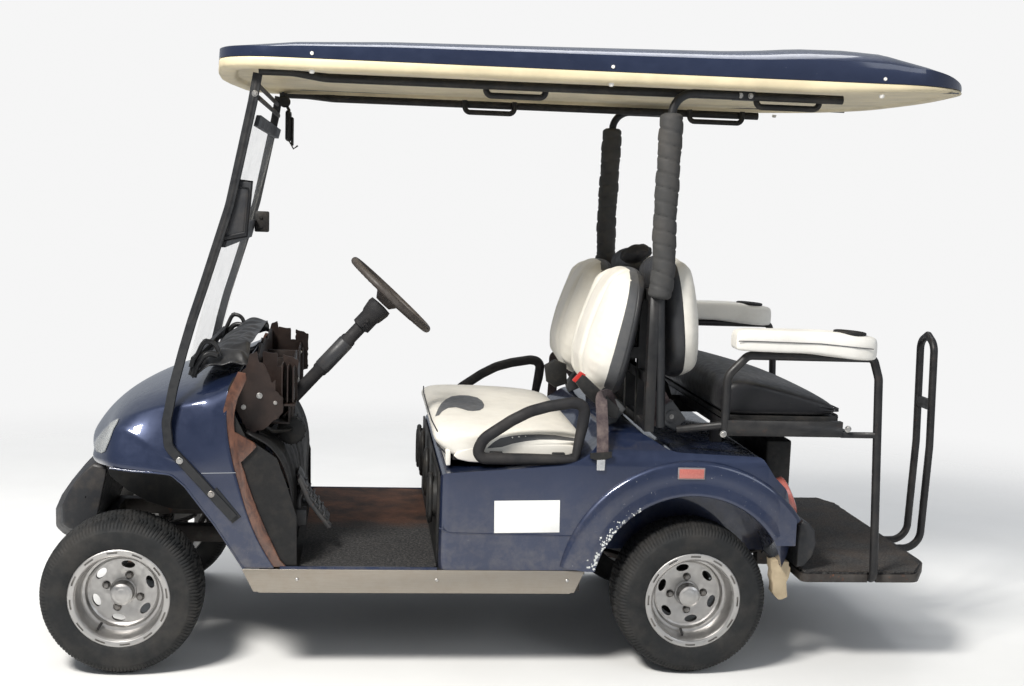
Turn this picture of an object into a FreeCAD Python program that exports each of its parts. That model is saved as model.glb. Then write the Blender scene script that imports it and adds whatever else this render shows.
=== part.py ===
import FreeCAD, Part
import math
import os

os.makedirs("parts", exist_ok=True)

# Four-seat electric golf cart with a rear-facing second bench.
# Millimetres. The cart faces -X and its left side is -Y, +Z is up.
# While modelling, x is measured from the front axle. Finished pieces are
# moved so that the origin is on the floor in the middle of the cart.

# Overall layout
wheelbase = 1670.0
nose_reach = 272.0          # front axle to the foremost point of the bumper
tail_reach = 923.7          # rear axle to the rearmost point of the grab bar
track = 945.0               # between the tyres' middle planes
running_gap = 6.0           # between pieces that move past each other
seat_gap = 0.3              # between pieces that rest on each other

# Wheels
tyre_r = 229.5
tyre_w = 205.0
flange_r = 144.0            # rim flange
bead_r = 128.0
rim_half = 95.0
disc_t = 6.0
hub_r = 30.0
spindle_r = 12.5
spindle_play = 0.05
vent_circle_r = 80.0
vent_count = 6

# Ladder frame
rail_y = 190.0
rail_w = 50.0
rail_z0, rail_z1 = 232.0, 300.0
bumper_back = -140.0        # front end of the frame

# Body
body_half = 560.0
wall = 6.0
sill_z0, sill_z1 = 252.0, 318.0
floor_z = 318.0
floor_t = 12.0
mat_t = 6.0
floor_x0, floor_x1 = 500.0, 917.0
arch_r = 296.0
flare_r = 385.0
flare_out = 9.0

# Canopy
roof_half = 560.0
roof_x0, roof_x1 = 215.0, 2520.0
lip_z0, lip_z1 = 1729.0, 1760.0
tail_lip_z = 1751.0         # underside of the roof at its tapered tail
crown_z = 1846.0
tube_r = 12.7
leg_y = 492.0
strut_x, strut_y = 1541.0, 492.0
foam_r = 32.0
roof_tube_z = 1714.0

# Front seat
seat_x0, seat_x1 = 884.0, 1330.0
seat_z1 = 738.0
seat_half = 500.0
lid_hinge_x, lid_hinge_z = 935.0, 626.0

# Rear bench
bench_x0, bench_x1 = 1752.0, 2108.0
bench_z0, bench_z1 = 778.0, 842.0
bench_half = 486.0
bench_frame_y = 548.0
flip_hinge_x, flip_hinge_z = 2120.0, 770.0
arm_pad_y0, arm_pad_y1 = 496.0, 600.0
arm_z0, arm_z1 = 978.0, 1047.0

# Footplate and grab bar
deck_x0, deck_x1 = 2010.0, 2450.0
deck_half = 535.0
post_foot_z = 290.0         # middle of the bench posts' feet, inside the deck
post_x = 2228.0             # where the bench posts stand
deck_z0, deck_z1 = 280.0, 304.0
grab_bow, grab_y = 10.0, 58.0
grab_top = 1002.0

# Front suspension and steering
kingpin_y = 372.0
axle_tube = 50.0
arm_len = 95.0
column_y = -280.0
wheel_hub = (750.0, 1085.0)     # steering wheel centre, x and z
column_foot = (470.0, 776.0)    # where the column leaves the dash
steer_wheel_r = 160.0
grip_r = 13.0

axle_z = tyre_r
rear_x = wheelbase
middle_x = (wheelbase + tail_reach - nose_reach) / 2
grab_x = wheelbase + tail_reach - tube_r - grab_bow
V = FreeCAD.Vector


def box(x0, x1, y0, y1, z0, z1):
    return Part.makeBox(x1 - x0, y1 - y0, z1 - z0, V(x0, y0, z0))


def rod(start, end, radius):
    a, b = V(*start), V(*end)
    return Part.makeCylinder(radius, (b - a).Length, a, b - a)


def outline(corners, to_point):
    """Closed wire of straight runs; each corner is (a, b, fillet radius)."""
    n = len(corners)
    ends = []
    for i, (a, b, r) in enumerate(corners):
        p = V(a, b, 0)
        u = V(*corners[i - 1][:2], 0) - p
        w = V(*corners[(i + 1) % n][:2], 0) - p
        u.normalize()
        w.normalize()
        half = u.getAngle(w) / 2
        if r <= 0 or abs(half - math.pi / 2) < 1e-6:
            ends.append((p, p, p))
            continue
        cut = r / math.tan(half)
        mid = u + w
        mid.normalize()
        centre = p + mid * (r / math.sin(half))
        ends.append((p + u * cut, centre - mid * r, p + w * cut))
    edges = []
    for i, (first, mid, last) in enumerate(ends):
        if (last - first).Length > 1e-6:
            edges.append(Part.Arc(*[to_point(q.x, q.y) for q in (first, mid, last)]).toShape())
        start = ends[(i + 1) % n][0]
        if (start - last).Length > 1e-6:
            edges.append(Part.LineSegment(to_point(last.x, last.y), to_point(start.x, start.y)).toShape())
    return Part.Wire(edges)


def side_prism(corners, y0, y1):
    """Profile in x and z, extruded from y0 to y1."""
    face = Part.Face(outline(corners, lambda a, b: V(a, y0, b)))
    return face.extrude(V(0, y1 - y0, 0))


def front_prism(corners, x0, x1):
    """Profile in y and z, extruded from x0 to x1."""
    face = Part.Face(outline(corners, lambda a, b: V(x0, a, b)))
    return face.extrude(V(x1 - x0, 0, 0))


def plan_prism(corners, z0, z1):
    """Profile in x and y, extruded from z0 to z1."""
    face = Part.Face(outline(corners, lambda a, b: V(a, b, z0)))
    return face.extrude(V(0, 0, z1 - z0))


def shrink(corners, d):
    """The same closed outline moved inwards by d, corner by corner."""
    n = len(corners)
    area = sum(corners[i - 1][0] * corners[i][1] - corners[i][0] * corners[i - 1][1] for i in range(n))
    turn = 1 if area > 0 else -1
    moved = []
    for i, (a, b, r) in enumerate(corners):
        p, q, s = V(*corners[i - 1][:2], 0), V(a, b, 0), V(*corners[(i + 1) % n][:2], 0)
        u, w = q - p, s - q
        u.normalize()
        w.normalize()
        n1, n2 = V(-u.y, u.x, 0) * turn, V(-w.y, w.x, 0) * turn
        k = d / (1 + n1.dot(n2))
        c = q + (n1 + n2) * k
        convex = u.cross(w).z * turn > 0
        radius = 0 if r <= 0 else max(r - d, 0.5) if convex else r + d
        moved.append((c.x, c.y, radius))
    return moved


def tube(points, radius, bends):
    """Round bar: straight runs joined by arcs, one bend radius for each inner point."""
    pts = [V(*p) for p in points]
    pieces = []
    last = pts[0]
    for i in range(1, len(pts) - 1):
        p = pts[i]
        u, w = pts[i - 1] - p, pts[i + 1] - p
        u.normalize()
        w.normalize()
        half = u.getAngle(w) / 2
        cut = bends[i - 1] / math.tan(half)
        mid = u + w
        mid.normalize()
        first, end = p + u * cut, p + w * cut
        centre = p + mid * (bends[i - 1] / math.sin(half))
        pieces.append(Part.makeCylinder(radius, (first - last).Length, last, first - last))
        disc = Part.Face(Part.Wire([Part.Circle(first, u, radius).toShape()]))
        pieces.append(disc.revolve(centre, u.cross(w) * -1, 180 - math.degrees(2 * half)))
        last = end
    pieces.append(Part.makeCylinder(radius, (pts[-1] - last).Length, last, pts[-1] - last))
    return union(pieces)


def turned(points, centre, axis):
    """Solid of revolution; each point is (along the axis, radius)."""
    ax = V(*axis)
    side = V(0, 0, 1) if abs(ax.z) < 0.5 else V(1, 0, 0)
    c = V(*centre)
    wire = Part.makePolygon([c + ax * a + side * r for a, r in points + points[:1]])
    return Part.Face(wire).revolve(c, ax, 360)


def mirrored(shape):
    return shape.mirror(V(0, 0, 0), V(0, 1, 0))


def both(shape):
    """The piece on the left side and its mirror image on the right."""
    return Part.makeCompound([shape, mirrored(shape)])


def union(shapes):
    joined = shapes[0].multiFuse(shapes[1:]) if len(shapes) > 1 else shapes[0]
    return joined.removeSplitter()


def save(name, shape):
    moved = shape.copy()
    moved.translate(V(-middle_x, 0, 0))
    moved.exportStep("parts/" + name + ".step")
    facets = sum(len(s.tessellate(0.5)[1]) for s in moved.Solids)
    b = moved.BoundBox
    print("%-24s solids %2d valid %s facets %5d  x %7.1f %7.1f  y %7.1f %7.1f  z %7.1f %7.1f" % (
        name, len(moved.Solids), moved.isValid(), facets, b.XMin, b.XMax, b.YMin, b.YMax, b.ZMin, b.ZMax))


# Wheels

def tyre(x, side):
    half = tyre_w / 2
    profile = [(-rim_half + 8, bead_r), (-rim_half + 5.6, flange_r + 0.6), (-half * 0.94, bead_r + 22), (-half, bead_r + 52), (-half * 0.95, tyre_r - 22),
               (-half * 0.78, tyre_r - 5), (-half * 0.35, tyre_r), (half * 0.35, tyre_r),
               (half * 0.78, tyre_r - 5), (half * 0.95, tyre_r - 22), (half, bead_r + 52),
               (half * 0.94, bead_r + 22), (rim_half - 6.6, flange_r + 0.6), (rim_half - 8.6, bead_r)]
    return turned(profile, (x, side * track / 2, axle_z), (0, side, 0))


def rim(x, side):
    """Deep-dish wheel: barrel, slotted outer lip, vented cone and hub with its cap."""
    c = (x, side * track / 2, axle_z)
    axis = (0, side, 0)
    play = bead_r - seat_gap
    face = -18.0                 # the mounting disc, behind the wheel's middle plane
    shell = [(-rim_half, flange_r), (-rim_half + 5, flange_r), (-rim_half + 7, play), (rim_half - 8, play),
             (rim_half - 6, flange_r), (rim_half + 3, flange_r), (rim_half + 3, 118), (rim_half - 3, 116),
             (40, 112), (face + 26, 98), (face + disc_t, 62), (face + disc_t, hub_r + 6), (face + 34, hub_r + 2),
             (face + 52, hub_r - 6), (face + 56, hub_r - 12), (face + 56, 0.0), (face + 44, 0.0),
             (face + 44, spindle_r + spindle_play), (face - 24, spindle_r + spindle_play), (face - 24, hub_r + 4),
             (face, hub_r + 30), (face, 66), (face + 20, 104), (36, 118), (-rim_half, 120)]
    body = turned(shell, c, axis)
    cuts = []
    for i in range(vent_count):
        a = math.radians(360.0 / vent_count * i + 20)
        spot = V(x + vent_circle_r * math.cos(a), c[1], axle_z + vent_circle_r * math.sin(a))
        hole = Part.makeCylinder(11, 80, spot - V(0, 40, 0), V(0, 1, 0))
        across = V(-math.sin(a), 0, math.cos(a))
        ends = [hole.translated(across * s) for s in (-9, 9)]
        flat = Part.makeBox(18, 22, 80, V(-9, -11, -40))
        flat.rotate(V(0, 0, 0), V(1, 0, 0), -90)
        flat.rotate(V(0, 0, 0), V(0, 1, 0), 90 - math.degrees(a))
        cuts += ends + [flat.translated(spot)]
    return body.cut(cuts)


wheel_places = [("front_left", 0.0, -1), ("front_right", 0.0, 1),
                ("rear_left", rear_x, -1), ("rear_right", rear_x, 1)]
for name, x, side in wheel_places:
    save("tyre_" + name, tyre(x, side))
    save("rim_" + name, rim(x, side))

# Front axle, knuckles and steering

kingpin_r = 11.0
tie_eye_y = kingpin_y - 22
boss_r = 20.0
boss_z0, boss_z1 = axle_z - 34, axle_z + 34
ear_t = 13.0


def knuckle(side):
    """Two ears round the axle's boss on a fixed pin, with the stub axle and the steering arm."""
    y = side * kingpin_y
    ears = []
    for z in (boss_z1 + 1, boss_z0 - 1 - ear_t):
        ears.append(rod((0, y, z), (0, y, z + ear_t), boss_r))
        ears.append(box(-16, 16, min(y, y + side * 42), max(y, y + side * 42), z, z + ear_t))
    web = box(-18, 18, min(y + side * 28, y + side * 42), max(y + side * 28, y + side * 42),
              boss_z0 - 1 - ear_t, boss_z1 + 1 + ear_t)
    pin = rod((0, y, boss_z0 - 1), (0, y, boss_z1 + 1), kingpin_r)
    hub_end = track / 2 - 18 + 40
    stub = rod((0, y + side * 40, axle_z), (0, side * hub_end, axle_z), spindle_r)
    arm_z = boss_z0 - 1 - ear_t
    eye_y = side * tie_eye_y
    arm = box(0, arm_len, eye_y - 11, eye_y + 11, arm_z, arm_z + ear_t)
    eye = rod((arm_len, eye_y, arm_z), (arm_len, eye_y, arm_z + ear_t), 14)
    return union(ears + [web, pin, stub, arm, eye])


save("knuckle_left", knuckle(-1))
save("knuckle_right", knuckle(1))

beam_h = axle_tube / 2
beam_end = kingpin_y - boss_r + 4
beam = box(-beam_h, beam_h, -beam_end, beam_end, axle_z - beam_h, axle_z + beam_h)
bosses = []
for side in (-1, 1):
    y = side * kingpin_y
    boss = rod((0, y, boss_z0), (0, y, boss_z1), boss_r)
    bosses.append(boss)
axle = union([beam] + bosses)
for side in (-1, 1):
    y = side * kingpin_y
    axle = axle.cut(rod((0, y, boss_z0 - 2), (0, y, boss_z1 + 2), kingpin_r + 0.05))
save("front_axle", axle)

leaf_t = 8.0
leaf_w = 50.0


def leaf_pack(x, y, seat_z, half_len, leaves, rise):
    """Stack of curved leaves with its ends up at the frame, lying on seat_z at x."""
    parts = []
    for k in range(leaves):
        reach = half_len * (1 - 0.24 * k)
        lift = rise * (reach / half_len) ** 2
        top = seat_z + leaf_t * (leaves - k)
        upper = Part.Arc(V(x - reach, y, top + lift), V(x, y, top), V(x + reach, y, top + lift)).toShape()
        low = top - leaf_t
        lower = Part.Arc(V(x + reach, y, low + lift), V(x, y, low), V(x - reach, y, low + lift)).toShape()
        ends = [Part.LineSegment(V(x + s * reach, y, a + lift), V(x + s * reach, y, b + lift)).toShape()
                for s, a, b in ((1, top, low), (-1, low, top))]
        face = Part.Face(Part.Wire([upper, ends[0], lower, ends[1]]))
        parts.append(face.extrude(V(0, leaf_w, 0)).translated(V(0, -leaf_w / 2, 0)))
    return parts


front_spring_y = 190.0
front_spring_half = 134.0
front_spring_top = rail_z1 + 10 - seat_gap
front_spring = leaf_pack(0, -front_spring_y, axle_z + beam_h, front_spring_half, 2,
                         front_spring_top - axle_z - beam_h - 2 * leaf_t)
front_clamp = box(-32, 32, -front_spring_y - 30, -front_spring_y + 30, axle_z + beam_h + 2 * leaf_t,
                  axle_z + beam_h + 2 * leaf_t + 8)
front_pack = union(front_spring + [front_clamp])

# Rear axle with its drive motor, springs and drums

drum_r, drum_w = 88.0, 46.0
hub_face_y = track / 2 - 18 - 24
drum_y1 = hub_face_y - running_gap
rear_axle = [rod((rear_x, -drum_y1, axle_z), (rear_x, drum_y1, axle_z), 32)]
for side in (-1, 1):
    rear_axle.append(rod((rear_x, side * (drum_y1 - drum_w), axle_z), (rear_x, side * drum_y1, axle_z), drum_r))
    rear_axle.append(rod((rear_x, side * drum_y1, axle_z), (rear_x, side * (track / 2 + 22), axle_z), spindle_r))
gear_y = 70.0
rear_axle.append(turned([(-62, 40), (-44, 80), (-20, 98), (20, 98), (44, 80), (62, 40), (62, 0), (-62, 0)],
                        (rear_x, gear_y, axle_z), (0, 1, 0)))
save("rear_axle", union(rear_axle))
motor_x = rear_x + 168
motor_box = rod((motor_x, gear_y - 150, axle_z + 14), (motor_x, gear_y + 90, axle_z + 14), 78)
motor_neck = box(rear_x + 60, motor_x - 40, gear_y - 40, gear_y + 40, axle_z - 30, axle_z + 60)
save("drive_motor", union([motor_box, motor_neck]).cut(rear_axle[-1]).cut(rear_axle[0]))

rear_spring_y = track / 2 - 172.5
hanger_z = 362.0            # underside of the frame over the rear axle
rear_spring_half = 285.0
rear_spring = leaf_pack(rear_x, -rear_spring_y, axle_z + 32, rear_spring_half, 3, 52)
shackles = [box(rear_x + s * rear_spring_half - 14, rear_x + s * rear_spring_half + 14, -rear_spring_y - 25, -rear_spring_y + 25,
                axle_z + 32 + 3 * leaf_t + 36, hanger_z) for s in (-1, 1)]
rear_pack = union(rear_spring + shackles)
save("leaf_springs", both(Part.makeCompound([front_pack, rear_pack])))

# Frame

kick_x0 = 1300.0            # where the rails rise over the rear axle
rails = []
for side in (-1, 1):
    y0 = side * rail_y - rail_w / 2
    front_run = box(bumper_back + seat_gap, 360, y0, y0 + rail_w, rail_z1 + 10, rail_z1 + 60)
    drop = side_prism([(300, rail_z1 + 60, 0), (300, rail_z1 + 10, 0), (392, rail_z0, 0), (470, rail_z0, 0),
                       (470, rail_z1, 0), (392, rail_z1, 0)], y0, y0 + rail_w)
    main_run = box(440, kick_x0 + 30, y0, y0 + rail_w, rail_z0, rail_z1)
    kick = side_prism([(kick_x0, rail_z0, 0), (1380, hanger_z, 0), (1380, hanger_z + 50, 0), (kick_x0, rail_z1, 0)],
                      y0, y0 + rail_w)
    rear_run = box(1380, 2000, y0, y0 + rail_w, hanger_z, hanger_z + 50)
    rails += [front_run, drop, main_run, kick, rear_run]
cross = []
pan_low = floor_z - floor_t - seat_gap
for x, half, z0, z1 in ((bumper_back + seat_gap, 215, rail_z1 + 10, rail_z1 + 60), (470, 545, rail_z0 + 20, pan_low),
                        (900, 545, rail_z0 + 20, pan_low), (1290, 545, rail_z0 + 20, pan_low),
                        (1352, 330, hanger_z, hanger_z + 50), (1955, 330, hanger_z, hanger_z + 50)):
    cross.append(box(x, x + 40, -half, half, z0, z1))
deck_arms = []
for side in (-1, 1):
    y0 = side * rail_y - rail_w / 2
    deck_arms.append(side_prism([(1962, deck_z0 - 30, 0), (deck_x1 - 15, deck_z0 - 30, 0),
                                 (deck_x1 - 15, deck_z0 - seat_gap, 0), (deck_x0 - 2, deck_z0 - seat_gap, 0),
                                 (2000, hanger_z + 50, 0), (1960, hanger_z + 50, 0)], y0, y0 + rail_w))
save("frame", union(rails + cross + deck_arms))

tie_r = 8.0
tie_z = boss_z0 - 1 - ear_t - running_gap - tie_r
tie_half = 300.0            # ends short of the arms, where a steered rim swings past
save("tie_rod", rod((arm_len, -tie_half, tie_z), (arm_len, tie_half, tie_z), tie_r))
rack_half = 150.0
shaft_end = (299.0, 587.0)
rack = [rod((arm_len, -rack_half, tie_z), (arm_len, rack_half, tie_z), 17),
        box(beam_h + seat_gap, arm_len, -60, 60, tie_z + 6, axle_z),
        rod((arm_len, -20, tie_z + 10), (shaft_end[0] - 2.8, column_y, shaft_end[1] - 3.6), 9)]
save("steering_rack", union(rack).cut(rod((arm_len, -rack_half - 5, tie_z), (arm_len, rack_half + 5, tie_z),
                                          tie_r + spindle_play)))

battery_x0, battery_x1 = 985.0, 1280.0
save("battery_pack", box(battery_x0, battery_x1, -330, 330, rail_z1 + seat_gap, 560))

# Floor

floor_pan = box(394, 1341, -body_half + 2, body_half - 2, floor_z - floor_t, floor_z)
rail_rise = [box(kick_x0, 1400, side * rail_y - rail_w / 2 - seat_gap, side * rail_y + rail_w / 2 + seat_gap, 200, 400)
             for side in (-1, 1)]
floor_pan = floor_pan.cut([box(battery_x0 - 8, battery_x1 + 8, -340, 340, 200, 400)] + rail_rise)
save("floor_pan", floor_pan)
mat = plan_prism([(floor_x0 + 8, -548, 20), (floor_x1 - 12, -548, 20), (floor_x1 - 12, 548, 20),
                  (floor_x0 + 8, 548, 20)], floor_z, floor_z + mat_t)

rocker = side_prism([(345, sill_z1, 0), (378, sill_z0, 0), (1311, sill_z0, 0), (1341, sill_z1, 0)],
                    -body_half - 4, -body_half)
rocker_lip = box(392, 1300, -body_half - 4, -520, sill_z0 - 3, sill_z0)
save("rocker_trims", both(union([rocker, rocker_lip])))

# Front cowl: the solid that fits the side, front and plan outlines, hollowed by its wall

cowl_side = [(-172, 530, 14), (-160, 600, 60), (-82, 712, 120), (30, 800, 160), (205, 888, 90),
             (338, 886, 14), (296, 812, 30), (296, 690, 160), (340, 570, 220), (456, 318.5, 0),
             (352, 318.5, 0), (170, 596, 70), (-60, 606, 40)]
cowl_front = [(-560, 300, 0), (-560, 730, 200), (-420, 872, 160), (-120, 906, 300), (120, 906, 300),
              (420, 872, 160), (560, 730, 200), (560, 300, 0)]
cowl_plan = [(470, -563, 0), (120, -563, 400), (-70, -500, 150), (-150, -300, 260), (-176, 0, 900),
             (-150, 300, 260), (-70, 500, 150), (120, 563, 400), (470, 563, 0)]


def three_view(side_view, front_view, plan_view, d):
    a = side_prism(shrink(side_view, d) if d else side_view, -700, 700)
    b = front_prism(shrink(front_view, d) if d else front_view, -400, 2300)
    c = plan_prism(shrink(plan_view, d) if d else plan_view, 100, 1200)
    return a.common(b).common(c)


cowl = three_view(cowl_side, cowl_front, cowl_plan, 0)
hollow = three_view(cowl_side, cowl_front, cowl_plan, wall)
hollow_low = hollow.translated(V(0, 0, -wall - 2))
hollow_back = hollow.translated(V(wall + 2, 0, -1))
hollow_arch = side_prism([(150, 570, 0), (172, 612, 0), (186, 606, 0), (368, 326, 0), (368, 300, 0), (330, 300, 0)],
                         -548, 548)
cowl = cowl.cut([hollow, hollow_low, hollow_back, hollow_arch])
lamp_corners = [(-100, 640, 6), (-84, 668, 6), (-20, 716, 8), (-26, 672, 6), (-66, 622, 8)]
lamp_cut = side_prism(lamp_corners, -620, -330)
cowl = cowl.cut([lamp_cut, mirrored(lamp_cut)])
save("front_cowl", cowl)
lamp = three_view(cowl_side, cowl_front, cowl_plan, 0).cut(three_view(cowl_side, cowl_front, cowl_plan, 26))
lamp = lamp.common(side_prism(shrink(lamp_corners, seat_gap), -620, -330 - seat_gap))
save("headlights", both(max(lamp.Solids, key=lambda s: s.Volume)))

bumper_half = 245.0
bumper_side = [(-nose_reach, 384, 0), (-254, 424, 0), (-180, 526, 0), (-92, 556, 0), (bumper_back, 404, 0),
               (bumper_back, 300, 0), (-222, 292, 0), (-nose_reach, 312, 0)]
bumper_plan = [(-80, -bumper_half, 0), (-214, -bumper_half, 34), (-nose_reach, -60, 300), (-nose_reach, 60, 300),
               (-214, bumper_half, 34), (-80, bumper_half, 0)]
bumper = plan_prism(bumper_plan, 200, 600).common(side_prism(bumper_side, -bumper_half - 10, bumper_half + 10))

# Dash

column_r = 21.0
column_slope = (wheel_hub[1] - column_foot[1]) / (wheel_hub[0] - column_foot[0])
hole_reach = 220.0
column_hole = rod((column_foot[0] - hole_reach, column_y, column_foot[1] - hole_reach * column_slope),
                  (column_foot[0] + hole_reach, column_y, column_foot[1] + hole_reach * column_slope),
                  column_r + seat_gap)
dash_top = side_prism([(196.6, 890.5, 0), (300, 948, 40), (352, 948, 12), (352, 900, 0), (300, 889.5, 0)], -470, 470)
dash_cap = dash_top.cut(three_view(cowl_side, cowl_front, cowl_plan, 0))
dash_cap = max(dash_cap.Solids, key=lambda s: s.Volume)
save("dash_top", dash_cap)

dash_main = side_prism([(352.3, 930, 10), (464, 922, 12), (470, 790, 20), (440, 690, 30), (352.3, 690, 0)], -524, 524)
pockets = []
for y0, y1, z0, z1 in ((-500, -340, 800, 900), (-60, 200, 800, 890), (260, 500, 800, 890)):
    pockets.append(box(400, 480, y0, y1, z0, z1))
dash_main = dash_main.cut(pockets + [column_hole])
save("dash_panel", dash_main)
kick_wall = side_prism([(346, 688, 0), (440, 688, 10), (462, 640, 0), (505, 490, 20), (498, floor_z + mat_t, 0),
                        (470, floor_z + mat_t, 0), (470, 480, 0), (420, 640, 0), (346, 660, 0)], -540, 540)
kick_wall = kick_wall.cut(column_hole)
save("footwell_wall", kick_wall)

trim_outer = [(340, 878, 3), (310, 862, 14), (294, 800, 40), (294, 700, 120), (318, 610, 120), (448, 325, 0),
              (474, 325, 0), (352, 616, 8), (386, 664, 6), (320, 738, 12), (317, 806, 30), (346, 868, 3)]
save("dash_trims", both(side_prism(trim_outer, -body_half - 8, -body_half - seat_gap)))

# Pedals: they have no joint of their own
pedals = []
for y, x, z, w, h in ((-330, 522, 505, 60, 74), (-226, 538, 470, 50, 110)):
    pad = box(x, x + 12, y - w / 2, y + w / 2, z - h / 2, z + h / 2)
    pad.rotate(V(x, y, z), V(0, 1, 0), -28)
    foot_z = floor_z + mat_t + seat_gap
    arm = rod((x + 5, y, z), (518, y, foot_z + 10), 8)
    pedals.append(union([pad, arm, box(506, 530, y - 11, y + 11, foot_z, foot_z + 14)]))
save("pedals", Part.makeCompound(pedals))

# Steering column and wheel

hub = V(wheel_hub[0], column_y, wheel_hub[1])
foot = V(column_foot[0], column_y, column_foot[1])
up = hub - foot
up.normalize()
low_end = V(shaft_end[0], column_y, shaft_end[1])
sleeve_end = hub - up * 34
column = [Part.makeCylinder(column_r, (sleeve_end - low_end).Length, low_end, up)]
column.append(Part.makeCylinder(33, 46, sleeve_end - up * 62, up))
clamp = Part.makeBox(44, 74, 40, V(-22, -37, 0))
clamp.Placement = FreeCAD.Placement(sleeve_end - up * 110, FreeCAD.Rotation(V(0, 0, 1), up))
column.append(clamp)
column_body = union(column).cut(Part.makeCylinder(10.05, 90, sleeve_end - up * 80, up))
save("steering_column", column_body)
tilt = FreeCAD.Placement(hub, FreeCAD.Rotation(V(0, 0, 1), up))
ring = Part.makeTorus(steer_wheel_r - grip_r, grip_r)
shaft = Part.makeCylinder(10, 100, V(0, 0, -106), V(0, 0, 1))
boss = turned([(-26, 0), (-26, 34), (8, 58), (20, 58), (34, 44), (38, 0)], (0, 0, 0), (0, 0, 1))
spokes = []
for angle in (90, 210, 330):
    spoke = box(30, steer_wheel_r - grip_r, -17, 17, -7, 5)
    spoke.rotate(V(0, 0, 0), V(0, 0, 1), angle)
    spokes.append(spoke)
steering = union([ring.translated(V(0, 0, 4)), shaft, boss] + spokes)
steering.Placement = tilt
save("steering_wheel", steering)

# Windshield and canopy legs

leg_run = [(110, 690), (352, 1618)]


def leg_x(z):
    (x0, z0), (x1, z1) = leg_run
    return x0 + (x1 - x0) * (z - z0) / (z1 - z0)


leg_foot_y = body_half + tube_r + seat_gap
legs = tube([(309, -leg_foot_y, 470), (112, -leg_foot_y, 700), (leg_x(1618), -leg_y, 1618),
             (363, -leg_y, roof_tube_z)], tube_r, [60, 90])

glass_z0, glass_mid, glass_z1 = 900.0, 1262.0, 1600.0
glass_t = 5.0
panes = []
for z0, z1 in ((glass_z0, glass_mid - 4), (glass_mid + 4, glass_z1)):
    pane = side_prism([(leg_x(z0) + 16, z0, 0), (leg_x(z1) + 16, z1, 0), (leg_x(z1) + 16 + glass_t, z1, 0),
                       (leg_x(z0) + 16 + glass_t, z0, 0)], -465, 465)
    panes.append(pane)
save("windshield", Part.makeCompound(panes))
clips = []
for z0, z1, half in ((glass_mid - 30, glass_mid + 30, 478), (glass_z1 - 26, glass_z1 + 4, 478),
                     (glass_z0 - 12, glass_z0 + 16, 470)):
    bar = side_prism([(leg_x(z0) + 21 + seat_gap, z0, 0), (leg_x(z1) + 21 + seat_gap, z1, 0),
                      (leg_x(z1) + 34, z1, 0), (leg_x(z0) + 34, z0, 0)], -half, half)
    clips.append(bar)
save("windshield_bars", Part.makeCompound(clips))

# Roof: a crowned skin over a cream liner

roof_plan = [(roof_x0 + 60, -roof_half, 170), (roof_x0, 0, 1200), (roof_x0 + 60, roof_half, 170),
             (roof_x1 - 60, roof_half, 170), (roof_x1, 0, 1200), (roof_x1 - 60, -roof_half, 170)]
roof_front = [(-roof_half, 1600, 0), (-roof_half, lip_z1 + 30, 40), (-400, crown_z - 24, 300),
              (0, crown_z + 36, 2100), (400, crown_z - 24, 300), (roof_half, lip_z1 + 30, 40),
              (roof_half, 1600, 0)]
roof_side = [(roof_x0, lip_z1, 0), (roof_x0 + 20, lip_z1 + 22, 60), (480, 1818, 700), (1250, 1838, 0),
             (1700, 1848, 600), (1900, 1872, 300), (2170, 1870, 200), (roof_x1 - 12, lip_z1 + 5, 30),
             (roof_x1, lip_z1, 0)]
roof_solid = side_prism(roof_side, -700, 700).common(front_prism(roof_front, 0, 2700))
roof_solid = roof_solid.common(plan_prism(roof_plan, 1600, 2000))
inner = side_prism(shrink(roof_side, 7), -700, 700).common(front_prism(shrink(roof_front, 7), 0, 2700))
inner = inner.common(plan_prism(shrink(roof_plan, 7), 1600, 2000)).translated(V(0, 0, -8))
inner_low = inner.translated(V(0, 0, -6))
save("roof_skin", roof_solid.cut([inner, inner_low]))
liner = plan_prism(roof_plan, lip_z0, lip_z1 - seat_gap)
tail_taper = side_prism([(1960, lip_z0 - 1, 0), (roof_x1 + 10, tail_lip_z, 0), (roof_x1 + 10, lip_z0 - 1, 0)], -600, 600)
liner = liner.cut(tail_taper)
save("roof_liner", liner)

rail_bar_y = 452.0
rails_roof = union([tube([(363 + tube_r + seat_gap, -leg_y, roof_tube_z + 12), (470, -leg_y, roof_tube_z + 12),
                          (560, -rail_bar_y, roof_tube_z + 2), (2066, -rail_bar_y, roof_tube_z + 2)],
                         tube_r, [60, 60])])
rails_roof = rails_roof.cut(liner)

strut = tube([(strut_x + 18, -strut_y - 14, 742), (strut_x, -strut_y - 8, 1140), (strut_x + 10, -strut_y, roof_tube_z + 2),
              (1790, -strut_y, roof_tube_z + 2)], tube_r, [900, 60])
save("canopy_frame", both(Part.makeCompound([legs, strut])))
strut_room = rod((strut_x + 18, -strut_y - 14, 742), (strut_x, -strut_y - 8, 1140), tube_r + seat_gap)
strut_room = strut_room.fuse(rod((strut_x, -strut_y - 8, 1120), (strut_x + 1, -strut_y - 7.6, 1160), tube_r + seat_gap))
foam = tube([(strut_x + 4, -strut_y - 10, 1150), (strut_x + 9, -strut_y, 1655)], foam_r, [])
save("strut_foam", both(foam.cut(strut)))

handles = []
for x0, x1, y in ((1015, 1190, -430), (1812, 2004, -430)):
    handles.append(tube([(x0, y, lip_z0 - seat_gap), (x0 + 2, y, 1688), (x1 - 2, y, 1688), (x1, y, lip_z0 - seat_gap)],
                        9, [18, 18]).cut(liner))
save("roof_rails", both(Part.makeCompound([rails_roof] + handles)))

# Seat pod: hollow rear body with wheel arches and flares

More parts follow.
